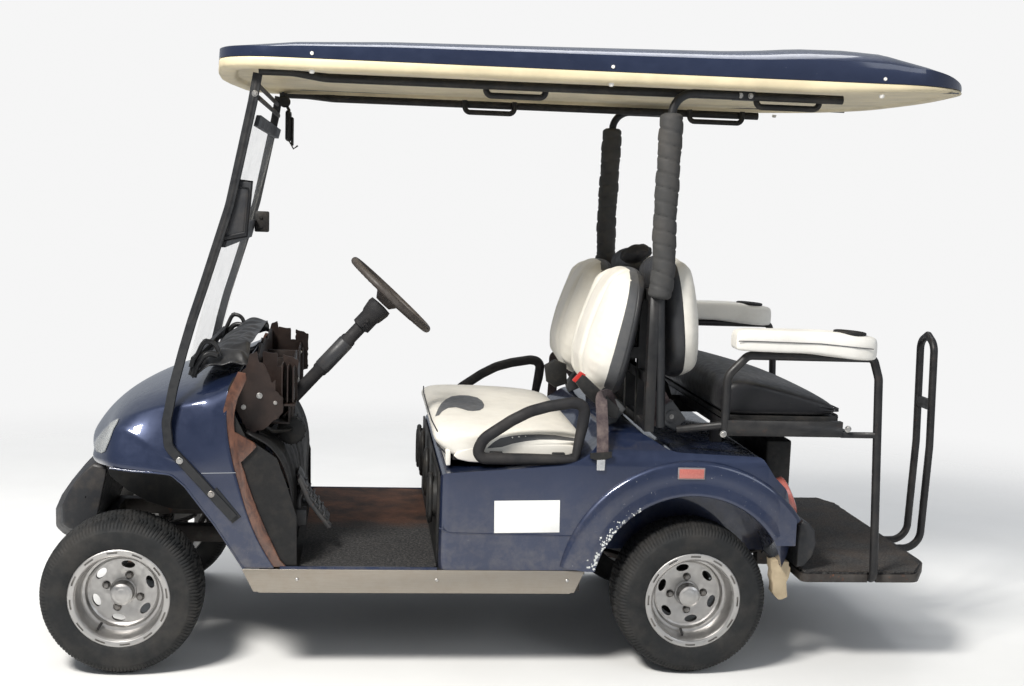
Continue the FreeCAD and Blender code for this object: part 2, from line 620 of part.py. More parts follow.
pod_low = sill_z1 + seat_gap
pod_side = [(909, pod_low, 0), (909, 604, 22), (1290, 634, 160), (1345, 668, 60), (1412, 728, 60), (1496, 728, 120),
            (1590, 674, 120), (1860, 664, 30), (1900, 606, 60), (1950, 560, 60), (1984, 430, 40), (1990, 400, 0),
            (1940, pod_low, 0), (1345, pod_low, 0)]
pod_front = [(-560, 250, 0), (-560, 660, 60), (-470, 735, 80), (470, 735, 80), (560, 660, 60), (560, 250, 0)]
pod_plan = [(909, -560, 26), (1990, -560, 120), (1990, 560, 120), (909, 560, 26)]
pod = three_view(pod_side, pod_front, pod_plan, 0)
pod_hollow = three_view(pod_side, pod_front, pod_plan, wall)
pod = pod.cut([pod_hollow, pod_hollow.translated(V(0, 0, -wall - 4))])
flare_ring = []
for side in (-1, 1):
    y0 = side * (body_half - 1)
    y1 = side * (body_half + flare_out)
    disc = rod((rear_x - 8, y0, 250), (rear_x - 8, y1, 250), flare_r)
    flare_ring.append(disc.common(box(1300, 1972, -600, 600, 400, 700)).common(
        side_prism(pod_side, -700, 700)))
arches = []
for side in (-1, 1):
    arches.append(rod((rear_x - 12, side * 340, 252), (rear_x - 12, side * 700, 252), arch_r))
well = []
for side in (-1, 1):
    y0, y1 = sorted((side * 340, side * (body_half - wall)))
    outer = rod((rear_x - 12, y0, 252), (rear_x - 12, y1, 252), arch_r + wall)
    inner_cyl = rod((rear_x - 12, y0 - 1, 252), (rear_x - 12, y1 + 1, 252), arch_r)
    disc = rod((rear_x - 12, side * 334, 252), (rear_x - 12, side * 340, 252), arch_r + wall)
    shell = outer.cut(inner_cyl).fuse(disc)
    shell = shell.cut(rod((rear_x, -500, axle_z), (rear_x, 500, axle_z), 60))
    well.append(shell.common(box(1300, 1985, -700, 700, 330, 700)).common(three_view(pod_side, pod_front, pod_plan, 1)))
pod = pod.fuse(flare_ring).cut(arches).fuse(well)
lid_hole = box(945, 1300, -440, 440, 560, 700)
pod = pod.cut(lid_hole)
rail_room = box(1200, deck_x0 + 90, -330, 330, 200, 420)
axle_room = box(rear_x - 70, rear_x + 70, -600, 600, 200, 330)
pod = pod.cut([rail_room, axle_room])
pod = pod.removeSplitter()
pod = max(pod.Solids, key=lambda s: s.Volume)
save("seat_pod", pod)

kick_panel = side_prism([(903, 330, 0), (903, 600, 4), (908.7, 600, 0), (908.7, 330, 0)], -530, 530)
speakers = []
for y in (-430, 430):
    speakers.append(turned([(-1, 62), (10, 60), (14, 50), (8, 40), (4, 0), (-1, 0)], (903, y, 510), (-1, 0, 0)))
save("kick_panel", union([kick_panel] + speakers))
flare_face = -body_half - flare_out
reflector = box(1603, 1684, flare_face - 6, flare_face - seat_gap, 599, 634)

# Rear end of the body
lamps_rear = []
for side in (-1, 1):
    lamps_rear.append(rod((1962, side * 430, 520), (1996, side * 430, 520), 44))
tail = Part.makeCompound([s.cut(three_view(pod_side, pod_front, pod_plan, 0)) for s in lamps_rear])
save("rear_lamps", Part.makeCompound([tail, both(reflector)]))
rear_bumper = side_prism([(1994, 396, 0), (1994, 452, 10), (2008, 466, 14), (2046, 436, 20), (2052, 392, 30),
                          (2020, 324, 14), (1975, 320, 0)], -520, 520)
rear_bumper = rear_bumper.cut([three_view(pod_side, pod_front, pod_plan, 0),
                               box(1900, 2200, -240, 240, 200, 430), box(1900, 1995.4, -330.4, 330.4, 200, 412.4)])
save("bumpers", Part.makeCompound([bumper, rear_bumper]))

# Front seat: cushion on its lid, padded hip restraints, two backs

board_z0 = 631.3
board_t = 14.0
lid_board = box(lid_hinge_x + 12, 1250, -seat_half + 12, seat_half - 12, board_z0, board_z0 + board_t)
cushion_z0 = board_z0 + board_t + seat_gap
cushion = side_prism([(seat_x0 + 50, cushion_z0, 10), (seat_x0 + 2, seat_z1 - 44, 24), (seat_x0 + 6, seat_z1 - 16, 12),
                      (seat_x0 + 44, seat_z1, 50), (1180, seat_z1 - 4, 200), (seat_x1 - 34, seat_z1 - 16, 30),
                      (seat_x1, 704, 6), (1252, cushion_z0, 0)], -seat_half, seat_half)
save("front_cushion", cushion)
hinge_y = 300.0
hinge_pin_r = 3.0
hinge_half = 18.0
lid_hinge, hinge_base = [], []
for y in (-hinge_y, hinge_y):
    eye = rod((lid_hinge_x, y - hinge_half, lid_hinge_z), (lid_hinge_x, y + hinge_half, lid_hinge_z), 7)
    strap = box(lid_hinge_x, lid_hinge_x + 40, y - hinge_half, y + hinge_half, lid_hinge_z + 1, board_z0 + 1)
    bore = rod((lid_hinge_x, y - 30, lid_hinge_z), (lid_hinge_x, y + 30, lid_hinge_z), hinge_pin_r + spindle_play)
    lid_hinge.append(union([eye, strap]).cut(bore))
    for s in (-1, 1):
        y0, y1 = sorted((y + s * (hinge_half + 1), y + s * (hinge_half + 13)))
        hinge_base.append(box(lid_hinge_x - 7, lid_hinge_x + 7, y0, y1, 607.4, lid_hinge_z + 6))
    hinge_base.append(rod((lid_hinge_x, y - hinge_half - 13, lid_hinge_z),
                          (lid_hinge_x, y + hinge_half + 13, lid_hinge_z), hinge_pin_r))
save("seat_lid", union([lid_board] + lid_hinge))


def hip_loop(side):
    y = side * 531
    return tube([(1130, y, 652), (1010, y, 652), (1140, y, 792), (1330, y, 826), (1292, y, 652), (1130, y, 652)],
                16, [24, 120, 24, 24])


save("hip_restraint_left", hip_loop(-1))
save("hip_restraint_right", hip_loop(1))


back_y = 262.0
back_half = 228.0
frame_x0, frame_x1 = 1510.0, 1538.0


def back_piece(side_view, height, lean, seat, half):
    """One back, arched when seen from the front, leaning about its foot at seat (x, z)."""
    arch = front_prism([(-half + 52, 0, 60), (half - 52, 0, 60), (half, height * 0.45, 260),
                        (half - 22, height, 100), (-half + 22, height, 100), (-half, height * 0.45, 260)],
                       -300, 300)
    piece = arch.common(side_prism(side_view, -400, 400))
    piece.rotate(V(0, 0, 0), V(0, 1, 0), lean)
    return piece.translated(V(seat[0], -back_y, seat[1]))


front_h, front_lean, front_foot = 404.0, 11.0, (1422.0, 806.0)
front_pad = back_piece([(-62, 0, 30), (0, 4, 4), (0, front_h - 4, 4), (-46, front_h, 24),
                        (-96, front_h * 0.62, 160), (-96, front_h * 0.25, 90)],
                       front_h, front_lean, front_foot, back_half)
front_shell = back_piece([(seat_gap, 4, 0), (seat_gap, front_h - 4, 0), (14, front_h - 12, 10),
                          (20, front_h * 0.5, 200), (14, 14, 8)], front_h, front_lean, front_foot, back_half - 3)
rear_h, rear_lean, rear_foot = 366.0, -6.5, (1634.0, 874.0)
rear_pad = back_piece([(54, 0, 26), (0, 4, 4), (0, rear_h - 4, 4), (34, rear_h, 20),
                       (60, rear_h * 0.62, 160), (62, rear_h * 0.25, 90)],
                      rear_h, rear_lean, rear_foot, back_half)
save("seat_back_pads", both(Part.makeCompound([front_pad, rear_pad])))
rear_shell = back_piece([(-seat_gap, 4, 0), (-seat_gap, rear_h - 4, 0), (-40, rear_h - 26, 26),
                         (-50, rear_h * 0.5, 200), (-42, 26, 26)], rear_h, rear_lean, rear_foot, back_half - 3)
save("seat_back_shells", both(Part.makeCompound([front_shell, rear_shell])))

# Frame that carries the backs, the struts and the rear bench
bar_z0, bar_z1 = 728.3, 1146.0
bar_half = 16.0
frame_bars = []
brackets = []
for y in (-strut_y - 2, -back_y - 90, -back_y + 90, back_y - 90, back_y + 90, strut_y + 2):
    frame_bars.append(box(frame_x0, frame_x1, y - bar_half, y + bar_half, bar_z0, bar_z1))
    if abs(y) < strut_y:
        brackets += [box(1440, 1630, y - bar_half, y + bar_half, z, z + 34) for z in (930, 1080)]
cross_bars = [box(frame_x0 + 2, frame_x1 - 2, -strut_y - 2, strut_y + 2, z, z + 30) for z in (bar_z1 - 32, 870, bar_z0)]
backs = [front_pad, front_shell, rear_pad, rear_shell]
held = union(brackets).cut(backs + [mirrored(b) for b in backs])
held = held.common(box(1400, 1700, -600, 600, 800, 1300))
touching = [s for s in held.Solids if s.BoundBox.XMin < frame_x0 and s.BoundBox.XMax > frame_x1]
back_frame = union(frame_bars + cross_bars + touching).cut([strut_room, mirrored(strut_room)])
save("seat_frame", Part.makeCompound([back_frame, union(hinge_base)]))

# Rear bench
bench_frame = []


def bench_side(side):
    y = side * bench_frame_y
    rail = box(1746, 2096, y - 13, y + 13, 729, 775)
    tail_rail = box(2094, 2206, y - 8, y + 8, 727, 743)
    brace = rod((1610, side * 500, 735), (1752, y, 760), 12)
    front_post = tube([(1742, y, 735), (1742, y, 905), (1800, y, 966), (1860, y, 966)], tube_r, [46, 30])
    rear_post = tube([(2040, y, 966), (2180, y, 966), (2200, y, 905), (post_x, y, post_foot_z),
                      (post_x, side * 470, post_foot_z)],
                     tube_r, [20, 60, 30])
    top = rod((1855, y, 966), (2045, y, 966), tube_r)
    return union([rail, tail_rail, front_post, rear_post, top, brace])


save("bench_side_left", bench_side(-1))
save("bench_side_right", bench_side(1))
cross_rails = [box(1764, 1796, -bench_frame_y + 13.2, bench_frame_y - 13.2, 729, 758),
               box(2064, flip_hinge_x + 4, -bench_frame_y + 13.2, bench_frame_y - 13.2, 729, 744)]
bench_board = box(bench_x0 + 6, bench_x1 - 4, -bench_half + 8, bench_half - 8, 764, bench_z0)
flip_y = 400.0
flip_pin_r = 5.0
flip_eyes, flip_base = [], []
for y in (-flip_y, flip_y):
    eye = union([rod((flip_hinge_x, y - 20, flip_hinge_z), (flip_hinge_x, y + 20, flip_hinge_z), 9),
                 box(bench_x1 - 10, flip_hinge_x, y - 20, y + 20, 766, bench_z0)])
    flip_eyes.append(eye.cut(rod((flip_hinge_x, y - 30, flip_hinge_z), (flip_hinge_x, y + 30, flip_hinge_z),
                                 flip_pin_r + spindle_play)))
    for s in (-1, 1):
        y0, y1 = sorted((y + s * 21, y + s * 33))
        flip_base.append(box(flip_hinge_x - 7, flip_hinge_x + 4, y0, y1, 740, flip_hinge_z + 6))
    flip_base.append(rod((flip_hinge_x, y - 33, flip_hinge_z), (flip_hinge_x, y + 33, flip_hinge_z), flip_pin_r))
save("bench_board", union([bench_board] + flip_eyes))
legs_down = [box(1764, 1796, y - 16, y + 16, 667.9, 730) for y in (-300, 300)]
runners = [box(1790, 2070, y - 12, y + 12, 729, 763.7) for y in (-300, 300)]
save("bench_base", union(cross_rails + legs_down + runners + flip_base))
bench_cushion = side_prism([(bench_x0, bench_z0 + seat_gap, 10), (bench_x0, bench_z1 + 42, 34),
                            (bench_x0 + 70, bench_z1 + 46, 60), (bench_x1 - 56, bench_z1 - 8, 50),
                            (bench_x1, bench_z1 - 34, 16), (bench_x1, bench_z0 + seat_gap, 10)],
                           -bench_half, bench_half)
save("bench_cushion", bench_cushion)


def arm_pad(side):
    """Moulded armrest, thicker at its rear, with a cup holder sunk into it."""
    y0, y1 = sorted((side * arm_pad_y0, side * arm_pad_y1))
    pad = side_prism([(1756, 988, 14), (1752, 1036, 24), (1790, arm_z1, 30), (2030, arm_z1, 60),
                      (2184, 1030, 20), (2186, 962, 20), (2130, 962, 24), (2010, arm_z0 + 1.5, 60),
                      (1790, arm_z0 + 1.5, 10)], y0, y1)
    cx, cy = 2098.0, side * (arm_pad_y0 + arm_pad_y1) / 2
    cup = rod((cx, cy, 988), (cx, cy, 1100), 39)
    groove = tube([(1800, side * bench_frame_y, 966), (2200, side * bench_frame_y, 966)], tube_r + seat_gap, [])
    return pad.cut([cup, groove])


save("armrests", Part.makeCompound([arm_pad(-1), arm_pad(1)]))

# Footplate and grab bar
deck_plan = [(deck_x0, -deck_half, 20), (deck_x1 - 78, -deck_half, 40), (deck_x1, -deck_half + 150, 120),
             (deck_x1, deck_half - 150, 120), (deck_x1 - 78, deck_half, 40), (deck_x0, deck_half, 20)]
deck = plan_prism(deck_plan, deck_z0, deck_z1)
post_room = tube_r + 0.8
post_rooms = []
for s in (-1, 1):
    y0, y1 = sorted((s * 517, s * (deck_half + 5)))
    post_rooms += [rod((post_x, s * 460, post_foot_z), (post_x, s * 520, post_foot_z), tube_r + seat_gap),
                   box(post_x - post_room, post_x + post_room, y0, y1, deck_z0 - 1, deck_z1 + 6)]
save("footplate", deck.cut(post_rooms))
deck_mat = plan_prism(shrink(deck_plan, 7), deck_z1, deck_z1 + 5).cut(post_rooms)
save("floor_mats", Part.makeCompound([mat, deck_mat]))


def grab_leg(side):
    y = side * grab_y
    foot_z = deck_z0 - tube_r - seat_gap
    return tube([(2330, y, foot_z), (grab_x, y, foot_z), (grab_x + grab_bow, y, 620), (grab_x, y, grab_top - 40),
                 (grab_x, 0, grab_top - 12.7)], tube_r, [60, 300, 42])


half_loop = grab_leg(-1)
cross_plate = box(grab_x - 4, grab_x + 12, -grab_y, grab_y, 742, 776)
foot_plate = box(2330, 2470, -grab_y - 22, grab_y + 22, deck_z0 - 30, deck_z0 - 24)
loop = union([half_loop, mirrored(half_loop), cross_plate, foot_plate])
save("grab_bar", loop)

# Belt hardware
belts = [box(1432, 1466, -372, -318, 728.3, 806),
         union([box(1598, 1660, -392, -330, 742, 800), box(frame_x1 + seat_gap, 1660, -392, -330, 736, 742)])]
save("belt_reels", both(Part.makeCompound(belts)))
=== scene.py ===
import bpy
import bmesh
import math
import random
from mathutils import Matrix, Vector, noise
from mathutils.bvhtree import BVHTree


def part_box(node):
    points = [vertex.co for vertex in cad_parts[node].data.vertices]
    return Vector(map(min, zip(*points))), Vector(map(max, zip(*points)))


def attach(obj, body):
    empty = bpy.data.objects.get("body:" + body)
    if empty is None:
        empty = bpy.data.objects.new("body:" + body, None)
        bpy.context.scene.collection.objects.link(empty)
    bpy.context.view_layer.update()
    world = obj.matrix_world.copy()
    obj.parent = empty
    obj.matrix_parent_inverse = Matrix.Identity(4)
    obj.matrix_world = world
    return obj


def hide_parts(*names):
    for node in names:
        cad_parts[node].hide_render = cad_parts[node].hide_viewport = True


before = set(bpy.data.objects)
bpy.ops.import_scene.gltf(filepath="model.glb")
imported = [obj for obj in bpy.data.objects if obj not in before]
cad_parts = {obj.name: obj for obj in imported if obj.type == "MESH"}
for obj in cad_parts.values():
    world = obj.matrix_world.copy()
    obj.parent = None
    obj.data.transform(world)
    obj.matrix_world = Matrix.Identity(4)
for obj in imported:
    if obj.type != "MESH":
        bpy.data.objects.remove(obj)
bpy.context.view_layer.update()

# Four-seat golf cart with a rear-facing second bench. The cart faces -X and its left side is -Y.
# Places are written in millimetres, with x measured from the front axle, as in the part's source.

MIDDLE = 1160.85           # front axle to the middle of the cart
AXLE_Z = 229.5
REAR_AXLE = 1670.0
HALF_TRACK = 472.5
LEFT, RIGHT = -1, 1
WHEELS = [("front_left", 0.0, LEFT), ("front_right", 0.0, RIGHT),
          ("rear_left", REAR_AXLE, LEFT), ("rear_right", REAR_AXLE, RIGHT)]


def at(x, y, z):
    """A place on the cart, in metres in the row frame."""
    return Vector(((x - MIDDLE) / 1000, y / 1000, z / 1000))


# Building meshes

def move_in(bm, verts, matrix):
    bmesh.ops.transform(bm, matrix=matrix, verts=verts)


def block(bm, x, y, z, round_by=0.0, steps=2, mat=0, turn=None):
    """A box between the limits in x, y and z, with rounded edges, turned about its middle."""
    made = bmesh.ops.create_cube(bm, size=1.0)["verts"]
    size = Matrix.Diagonal(((x[1] - x[0]) / 1000, (y[1] - y[0]) / 1000, (z[1] - z[0]) / 1000, 1))
    place = Matrix.Translation(at((x[0] + x[1]) / 2, (y[0] + y[1]) / 2, (z[0] + z[1]) / 2))
    move_in(bm, made, place @ (turn or Matrix()) @ size)
    faces = list({f for v in made for f in v.link_faces})
    for f in faces:
        f.material_index = mat
    if round_by:
        edges = list({e for v in made for e in v.link_edges})
        bmesh.ops.bevel(bm, geom=edges, offset=round_by / 1000, segments=steps, profile=0.5, affect="EDGES",
                        material=-1)
    return made


def plate(bm, corners, low, high, across="y", round_by=0.0, steps=2, mat=0):
    """A flat outline pushed through from low to high across the x, y or z direction."""
    def spot(a, b, c):
        return at(a, c, b) if across == "y" else at(c, a, b) if across == "x" else at(a, b, c)
    verts = [bm.verts.new(spot(a, b, low)) for a, b in corners]
    face = bm.faces.new(verts)
    made = bmesh.ops.extrude_face_region(bm, geom=[face])["geom"]
    tops = [g for g in made if isinstance(g, bmesh.types.BMVert)]
    bmesh.ops.translate(bm, verts=tops, vec=spot(0, 0, high) - spot(0, 0, low))
    faces = {f for v in verts + tops for f in v.link_faces}
    bmesh.ops.recalc_face_normals(bm, faces=list(faces))
    for f in faces:
        f.material_index = mat
    if round_by:
        rims = [e for f in faces for e in f.edges if len(f.verts) == len(corners)]
        bmesh.ops.bevel(bm, geom=list(set(rims)), offset=round_by / 1000, segments=steps, profile=0.5,
                        affect="EDGES", material=-1)
    return verts + tops


def smooth_path(points, step=9.0):
    """The corners of a bent bar, rounded: each point is (x, y, z, bend radius)."""
    out = []
    spots = [Vector(p[:3]) for p in points]
    for i, p in enumerate(points):
        r = p[3] if len(p) > 3 else 0
        if i in (0, len(points) - 1) or r <= 0:
            out.append(spots[i])
            continue
        u = (spots[i - 1] - spots[i]).normalized()
        w = (spots[i + 1] - spots[i]).normalized()
        half = u.angle(w) / 2
        middle = (u + w).normalized()
        centre = spots[i] + middle * (r / math.sin(half))
        first = spots[i] + u * (r / math.tan(half)) - centre
        turn = math.pi - 2 * half
        axis = u.cross(w).normalized()
        count = max(2, int(math.degrees(turn) / step))
        for k in range(count + 1):
            out.append(centre + Matrix.Rotation(-turn * k / count, 3, axis) @ first)
    return out


def bar(bm, points, radius, sides=14, mat=0, flat=1.0, closed=False):
    """A round or oval bar along a bent path."""
    path = [at(*p) for p in smooth_path(points)]
    n = len(path)
    rings = []
    up = None
    for i, p in enumerate(path):
        if closed:
            way = (path[(i + 1) % n] - path[i - 1]).normalized()
        else:
            way = (path[min(i + 1, n - 1)] - path[max(i - 1, 0)]).normalized()
        if up is None:
            up = Vector((0, 1, 0)) if abs(way.y) < 0.9 else Vector((0, 0, 1))
        up = (up - way * up.dot(way)).normalized()
        side = way.cross(up)
        ring = bmesh.ops.create_circle(bm, cap_ends=False, segments=sides, radius=radius / 1000)["verts"]
        turn = Matrix((side * flat, up, way)).transposed().to_4x4()
        move_in(bm, ring, Matrix.Translation(p) @ turn)
        rings.append(ring)
    pairs = list(zip(rings, rings[1:] + rings[:1])) if closed else list(zip(rings, rings[1:]))
    for a, b in pairs:
        for k in range(sides):
            f = bm.faces.new((a[k], a[(k + 1) % sides], b[(k + 1) % sides], b[k]))
            f.material_index = mat
    if not closed:
        for ring in (rings[0][::-1], rings[-1]):
            bm.faces.new(ring).material_index = mat
    for ring in rings:
        for v in ring:
            for e in [e for e in v.link_edges if not e.link_faces]:
                bm.edges.remove(e)
    return [v for ring in rings for v in ring]


def lathe(bm, profile, centre, axis, steps=48, mat=0):
    """Turns a profile of (along the axis, radius) points round the axis."""
    axis = Vector(axis).normalized()
    side = Vector((0, 0, 1)) if abs(axis.z) < 0.9 else Vector((1, 0, 0))
    side = (side - axis * side.dot(axis)).normalized()
    c = at(*centre)
    verts = [bm.verts.new(c + axis * (a / 1000) + side * (max(r, 0.02) / 1000)) for a, r in profile]
    edges = [bm.edges.new(pair) for pair in zip(verts, verts[1:])]
    before = set(bm.faces)
    bmesh.ops.spin(bm, geom=verts + edges, cent=c, axis=axis, angle=math.radians(360), steps=steps,
                   use_merge=True)
    made = [f for f in bm.faces if f not in before]
    for f in made:
        f.material_index = mat
    return list({v for f in made for v in f.verts})


def skin(bm, rows, mat=0, wrap=False):
    """A sheet through rows of places, row by row; wrap joins the last row to the first."""
    rows = rows + rows[:1] if wrap else rows
    n, m = len(rows), len(rows[0])
    grid = bmesh.ops.create_grid(bm, x_segments=m - 1, y_segments=n - 1, size=1.0)["verts"]
    for k, v in enumerate(grid):
        v.co = at(*rows[k // m][k % m])
    faces = {f for v in grid for f in v.link_faces}
    for f in faces:
        f.material_index = mat
    if wrap:
        bmesh.ops.remove_doubles(bm, verts=grid[:m] + grid[-m:], dist=1e-6)
    return grid


def crease(bm, chosen, value=0.8):
    """Keeps chosen edges sharp under subdivision."""
    layer = bm.edges.layers.float.get("crease_edge") or bm.edges.layers.float.new("crease_edge")
    for e in bm.edges:
        if chosen(e):
            e[layer] = value


def mirror_over(bm):
    """Adds the same shape on the other side of the cart."""
    bmesh.ops.mirror(bm, geom=bm.verts[:] + bm.edges[:] + bm.faces[:], matrix=Matrix(), merge_dist=0.0004,
                     axis="Y")
    bmesh.ops.recalc_face_normals(bm, faces=bm.faces[:])


def bolt(bm, x, y, z, radius, height, axis, mat=0):
    """A hexagon head on its washer."""
    washer = radius * 1.45
    lathe(bm, [(0, washer), (height * 0.22, washer), (height * 0.3, washer * 0.93),
               (height * 0.3, 0)], (x, y, z), axis, 20, mat)
    lathe(bm, [(height * 0.28, radius), (height * 0.85, radius), (height, radius * 0.86), (height, 0)],
          (x, y, z), axis, 6, mat)


def both_plates(bm, corners, near, far, **more):
    """The same plate on the left and on the right, between two distances from the cart's middle."""
    for s in (LEFT, RIGHT):
        plate(bm, corners, *sorted((s * near, s * far)), "y", **more)


def both_blocks(bm, x, near, far, z, round_by=0.0, steps=2):
    for s in (LEFT, RIGHT):
        block(bm, x, tuple(sorted((s * near, s * far))), z, round_by, steps)


def close_ends(bm):
    bmesh.ops.holes_fill(bm, edges=[e for e in bm.edges if e.is_boundary], sides=0)


def rivet(bm, x, y, z, radius, axis, mat=0):
    lathe(bm,
          [(0, radius), (radius * 0.25, radius * 0.95), (radius * 0.55, radius * 0.6), (radius * 0.65, 0)],
          (x, y, z), axis, 14, mat)


def piece(name, bm, finishes, body="chassis", instead_of=(), sharp=38, subdivide=0, thick=0.0,
          bevel=0.0):
    """Makes a finished object of the mesh and lets it ride on its body."""
    bmesh.ops.recalc_face_normals(bm, faces=bm.faces[:])
    mesh = bpy.data.meshes.new(name)
    bm.to_mesh(mesh)
    bm.free()
    for p in mesh.polygons:
        p.use_smooth = True
    if not subdivide:
        mesh.set_sharp_from_angle(angle=math.radians(sharp))
    for f in finishes if isinstance(finishes, (list, tuple)) else [finishes]:
        mesh.materials.append(f)
    ob = bpy.data.objects.new(name, mesh)
    bpy.context.scene.collection.objects.link(ob)
    if subdivide:
        sub = ob.modifiers.new("Smooth surface", "SUBSURF")
        sub.levels = sub.render_levels = subdivide
    if thick:
        wall = ob.modifiers.new("Wall", "SOLIDIFY")
        wall.thickness = thick / 1000
        wall.offset = -1
    if bevel:
        edge = ob.modifiers.new("Soft edges", "BEVEL")
        edge.width = bevel / 1000
        edge.segments = 2
        edge.limit_method = "ANGLE"
    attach(ob, body)
    if instead_of:
        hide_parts(*instead_of)
    return ob


def applied(ob):
    """The object with its modifiers made part of its mesh."""
    seen = ob.evaluated_get(bpy.context.evaluated_depsgraph_get())
    mesh = bpy.data.meshes.new_from_object(seen)
    ob.modifiers.clear()
    ob.data = mesh
    return ob


# Finishes

class Finish:
    """One material and the few node patterns that the finishes share."""

    def __init__(self, name, colour, rough=0.5, metal=0.0, coat=0.0, coat_rough=0.05, specular=0.5,
                 sheen=0.0):
        self.material = bpy.data.materials.new(name)
        self.material.use_nodes = True
        self.tree = self.material.node_tree
        self.shader = self.tree.nodes["Principled BSDF"]
        self.place = self.tree.nodes.new("ShaderNodeTexCoord").outputs["Object"]
        self.base = (*colour, 1.0)
        s = self.shader.inputs
        s["Base Color"].default_value = self.base
        s["Roughness"].default_value = rough
        s["Metallic"].default_value = metal
        s["Coat Weight"].default_value = coat
        s["Coat Roughness"].default_value = coat_rough
        s["Specular IOR Level"].default_value = specular
        s["Sheen Weight"].default_value = sheen

    def node(self, kind, **values):
        n = self.tree.nodes.new("ShaderNode" + kind)
        for k, v in values.items():
            setattr(n, k, v)
        return n

    def link(self, source, target):
        self.tree.links.new(source, target)

    def stretched(self, scale, turn=(0, 0, 0)):
        m = self.node("Mapping")
        m.inputs["Scale"].default_value = scale
        m.inputs["Rotation"].default_value = [math.radians(a) for a in turn]
        self.link(self.place, m.inputs["Vector"])
        return m.outputs["Vector"]

    def noise(self, scale, detail=4.0, rough=0.55, distort=0.0, source=None):
        n = self.node("TexNoise")
        n.inputs["Scale"].default_value = scale
        n.inputs["Detail"].default_value = detail
        n.inputs["Roughness"].default_value = rough
        n.inputs["Distortion"].default_value = distort
        self.link(source or self.place, n.inputs["Vector"])
        return n.outputs["Fac"]

    def cells(self, scale):
        n = self.node("TexVoronoi")
        n.inputs["Scale"].default_value = scale
        self.link(self.place, n.inputs["Vector"])
        return n.outputs["Distance"]

    def weave(self, scale, distort):
        n = self.node("TexWave", bands_direction="DIAGONAL")
        n.inputs["Scale"].default_value = scale
        n.inputs["Distortion"].default_value = distort
        self.link(self.place, n.inputs["Vector"])
        return n.outputs["Fac"]

    def between(self, value, low, high, a=0.0, b=1.0):
        """Maps value from low..high to a..b and clamps it."""
        n = self.node("MapRange")
        for key, v in (("From Min", low), ("From Max", high), ("To Min", a), ("To Max", b)):
            n.inputs[key].default_value = v
        self.link(value, n.inputs["Value"])
        return n.outputs["Result"]

    def calc(self, how, a, b):
        n = self.node("Math", operation=how)
        for socket, v in zip(n.inputs, (a, b)):
            if isinstance(v, (int, float)):
                socket.default_value = v
            else:
                self.link(v, socket)
        return n.outputs[0]

    def axis(self, name):
        n = self.node("SeparateXYZ")
        self.link(self.place, n.inputs[0])
        return n.outputs[name]

    def blend(self, amount, a, b):
        """Mixes two colours; a colour is a tuple or another node's output."""
        n = self.node("Mix", data_type="RGBA")
        for socket, v in ((n.inputs[0], amount), (n.inputs[6], a), (n.inputs[7], b)):
            if isinstance(v, (int, float)):
                socket.default_value = v
            elif isinstance(v, (tuple, list)):
                socket.default_value = (*v[:3], 1.0)
            else:
                self.link(v, socket)
        return n.outputs[2]

    def colour(self, source):
        self.link(source, self.shader.inputs["Base Color"])

    def rough(self, source):
        self.link(source, self.shader.inputs["Roughness"])

    def bump(self, height, strength=0.3, depth=0.5, under=None):
        n = self.node("Bump")
        n.inputs["Strength"].default_value = strength
        n.inputs["Distance"].default_value = depth / 1000
        self.link(height, n.inputs["Height"])
        if under:
            self.link(under, n.inputs["Normal"])
        self.link(n.outputs["Normal"], self.shader.inputs["Normal"])
        return n.outputs["Normal"]


def car_paint(name, chipped=0.765):
    """Metallic navy under clear coat, dusty low down, with fine scratches and pale chips."""
    f = Finish(name, (0.020, 0.036, 0.095), rough=0.34, metal=0.5, coat=1.0, coat_rough=0.06)
    flake = f.cells(1500.0)
    tone = f.between(f.noise(3.0, 3), 0.3, 0.7)
    base = f.blend(tone, (0.010, 0.018, 0.052), (0.016, 0.027, 0.070))
    base = f.blend(f.between(flake, 0.0, 0.5, 0.35, 0.0), base, (0.055, 0.080, 0.155))
    low = f.between(f.axis("Z"), 0.30, 0.62, 1.0, 0.0)
    dust = f.calc("MULTIPLY", low, f.between(f.noise(22.0, 8, 0.7), 0.42, 0.75))
    base = f.blend(f.calc("MULTIPLY", dust, 0.32), base, (0.25, 0.22, 0.18))
    chips = f.between(f.noise(160.0, 3, 0.6), chipped, chipped + 0.025)
    base = f.blend(f.calc("MULTIPLY", chips, 0.75), base, (0.55, 0.56, 0.56))
    f.colour(base)
    f.rough(f.between(f.noise(35.0, 6), 0.3, 0.75, 0.28, 0.5))
    f.bump(f.noise(900.0, 2), 0.05, 0.1)
    return f.material


def worn_black(name, colour=(0.022, 0.022, 0.024), shine=0.42, dusty=0.5, rust=0.0):
    """Black coated metal or plastic with dust, fine texture and worn spots."""
    f = Finish(name, colour, rough=shine, specular=0.45)
    dust = f.between(f.noise(14.0, 9, 0.68), 0.45, 0.8, 0.0, dusty)
    base = f.blend(dust, colour, (0.11, 0.10, 0.09))
    if rust:
        spots = f.between(f.noise(38.0, 8, 0.72), 0.60, 0.70, 0.0, rust)
        base = f.blend(spots, base, (0.15, 0.055, 0.025))
    scuffs = f.between(f.noise(120.0, 3, 0.6, source=f.stretched((1, 1, 4))), 0.70, 0.76, 0.0, 0.35)
    base = f.blend(scuffs, base, (0.16, 0.16, 0.165))
    f.colour(base)
    f.rough(f.between(f.noise(40.0, 5), 0.3, 0.7, shine - 0.08, shine + 0.16))
    f.bump(f.noise(700.0, 3), 0.12, 0.25)
    return f.material


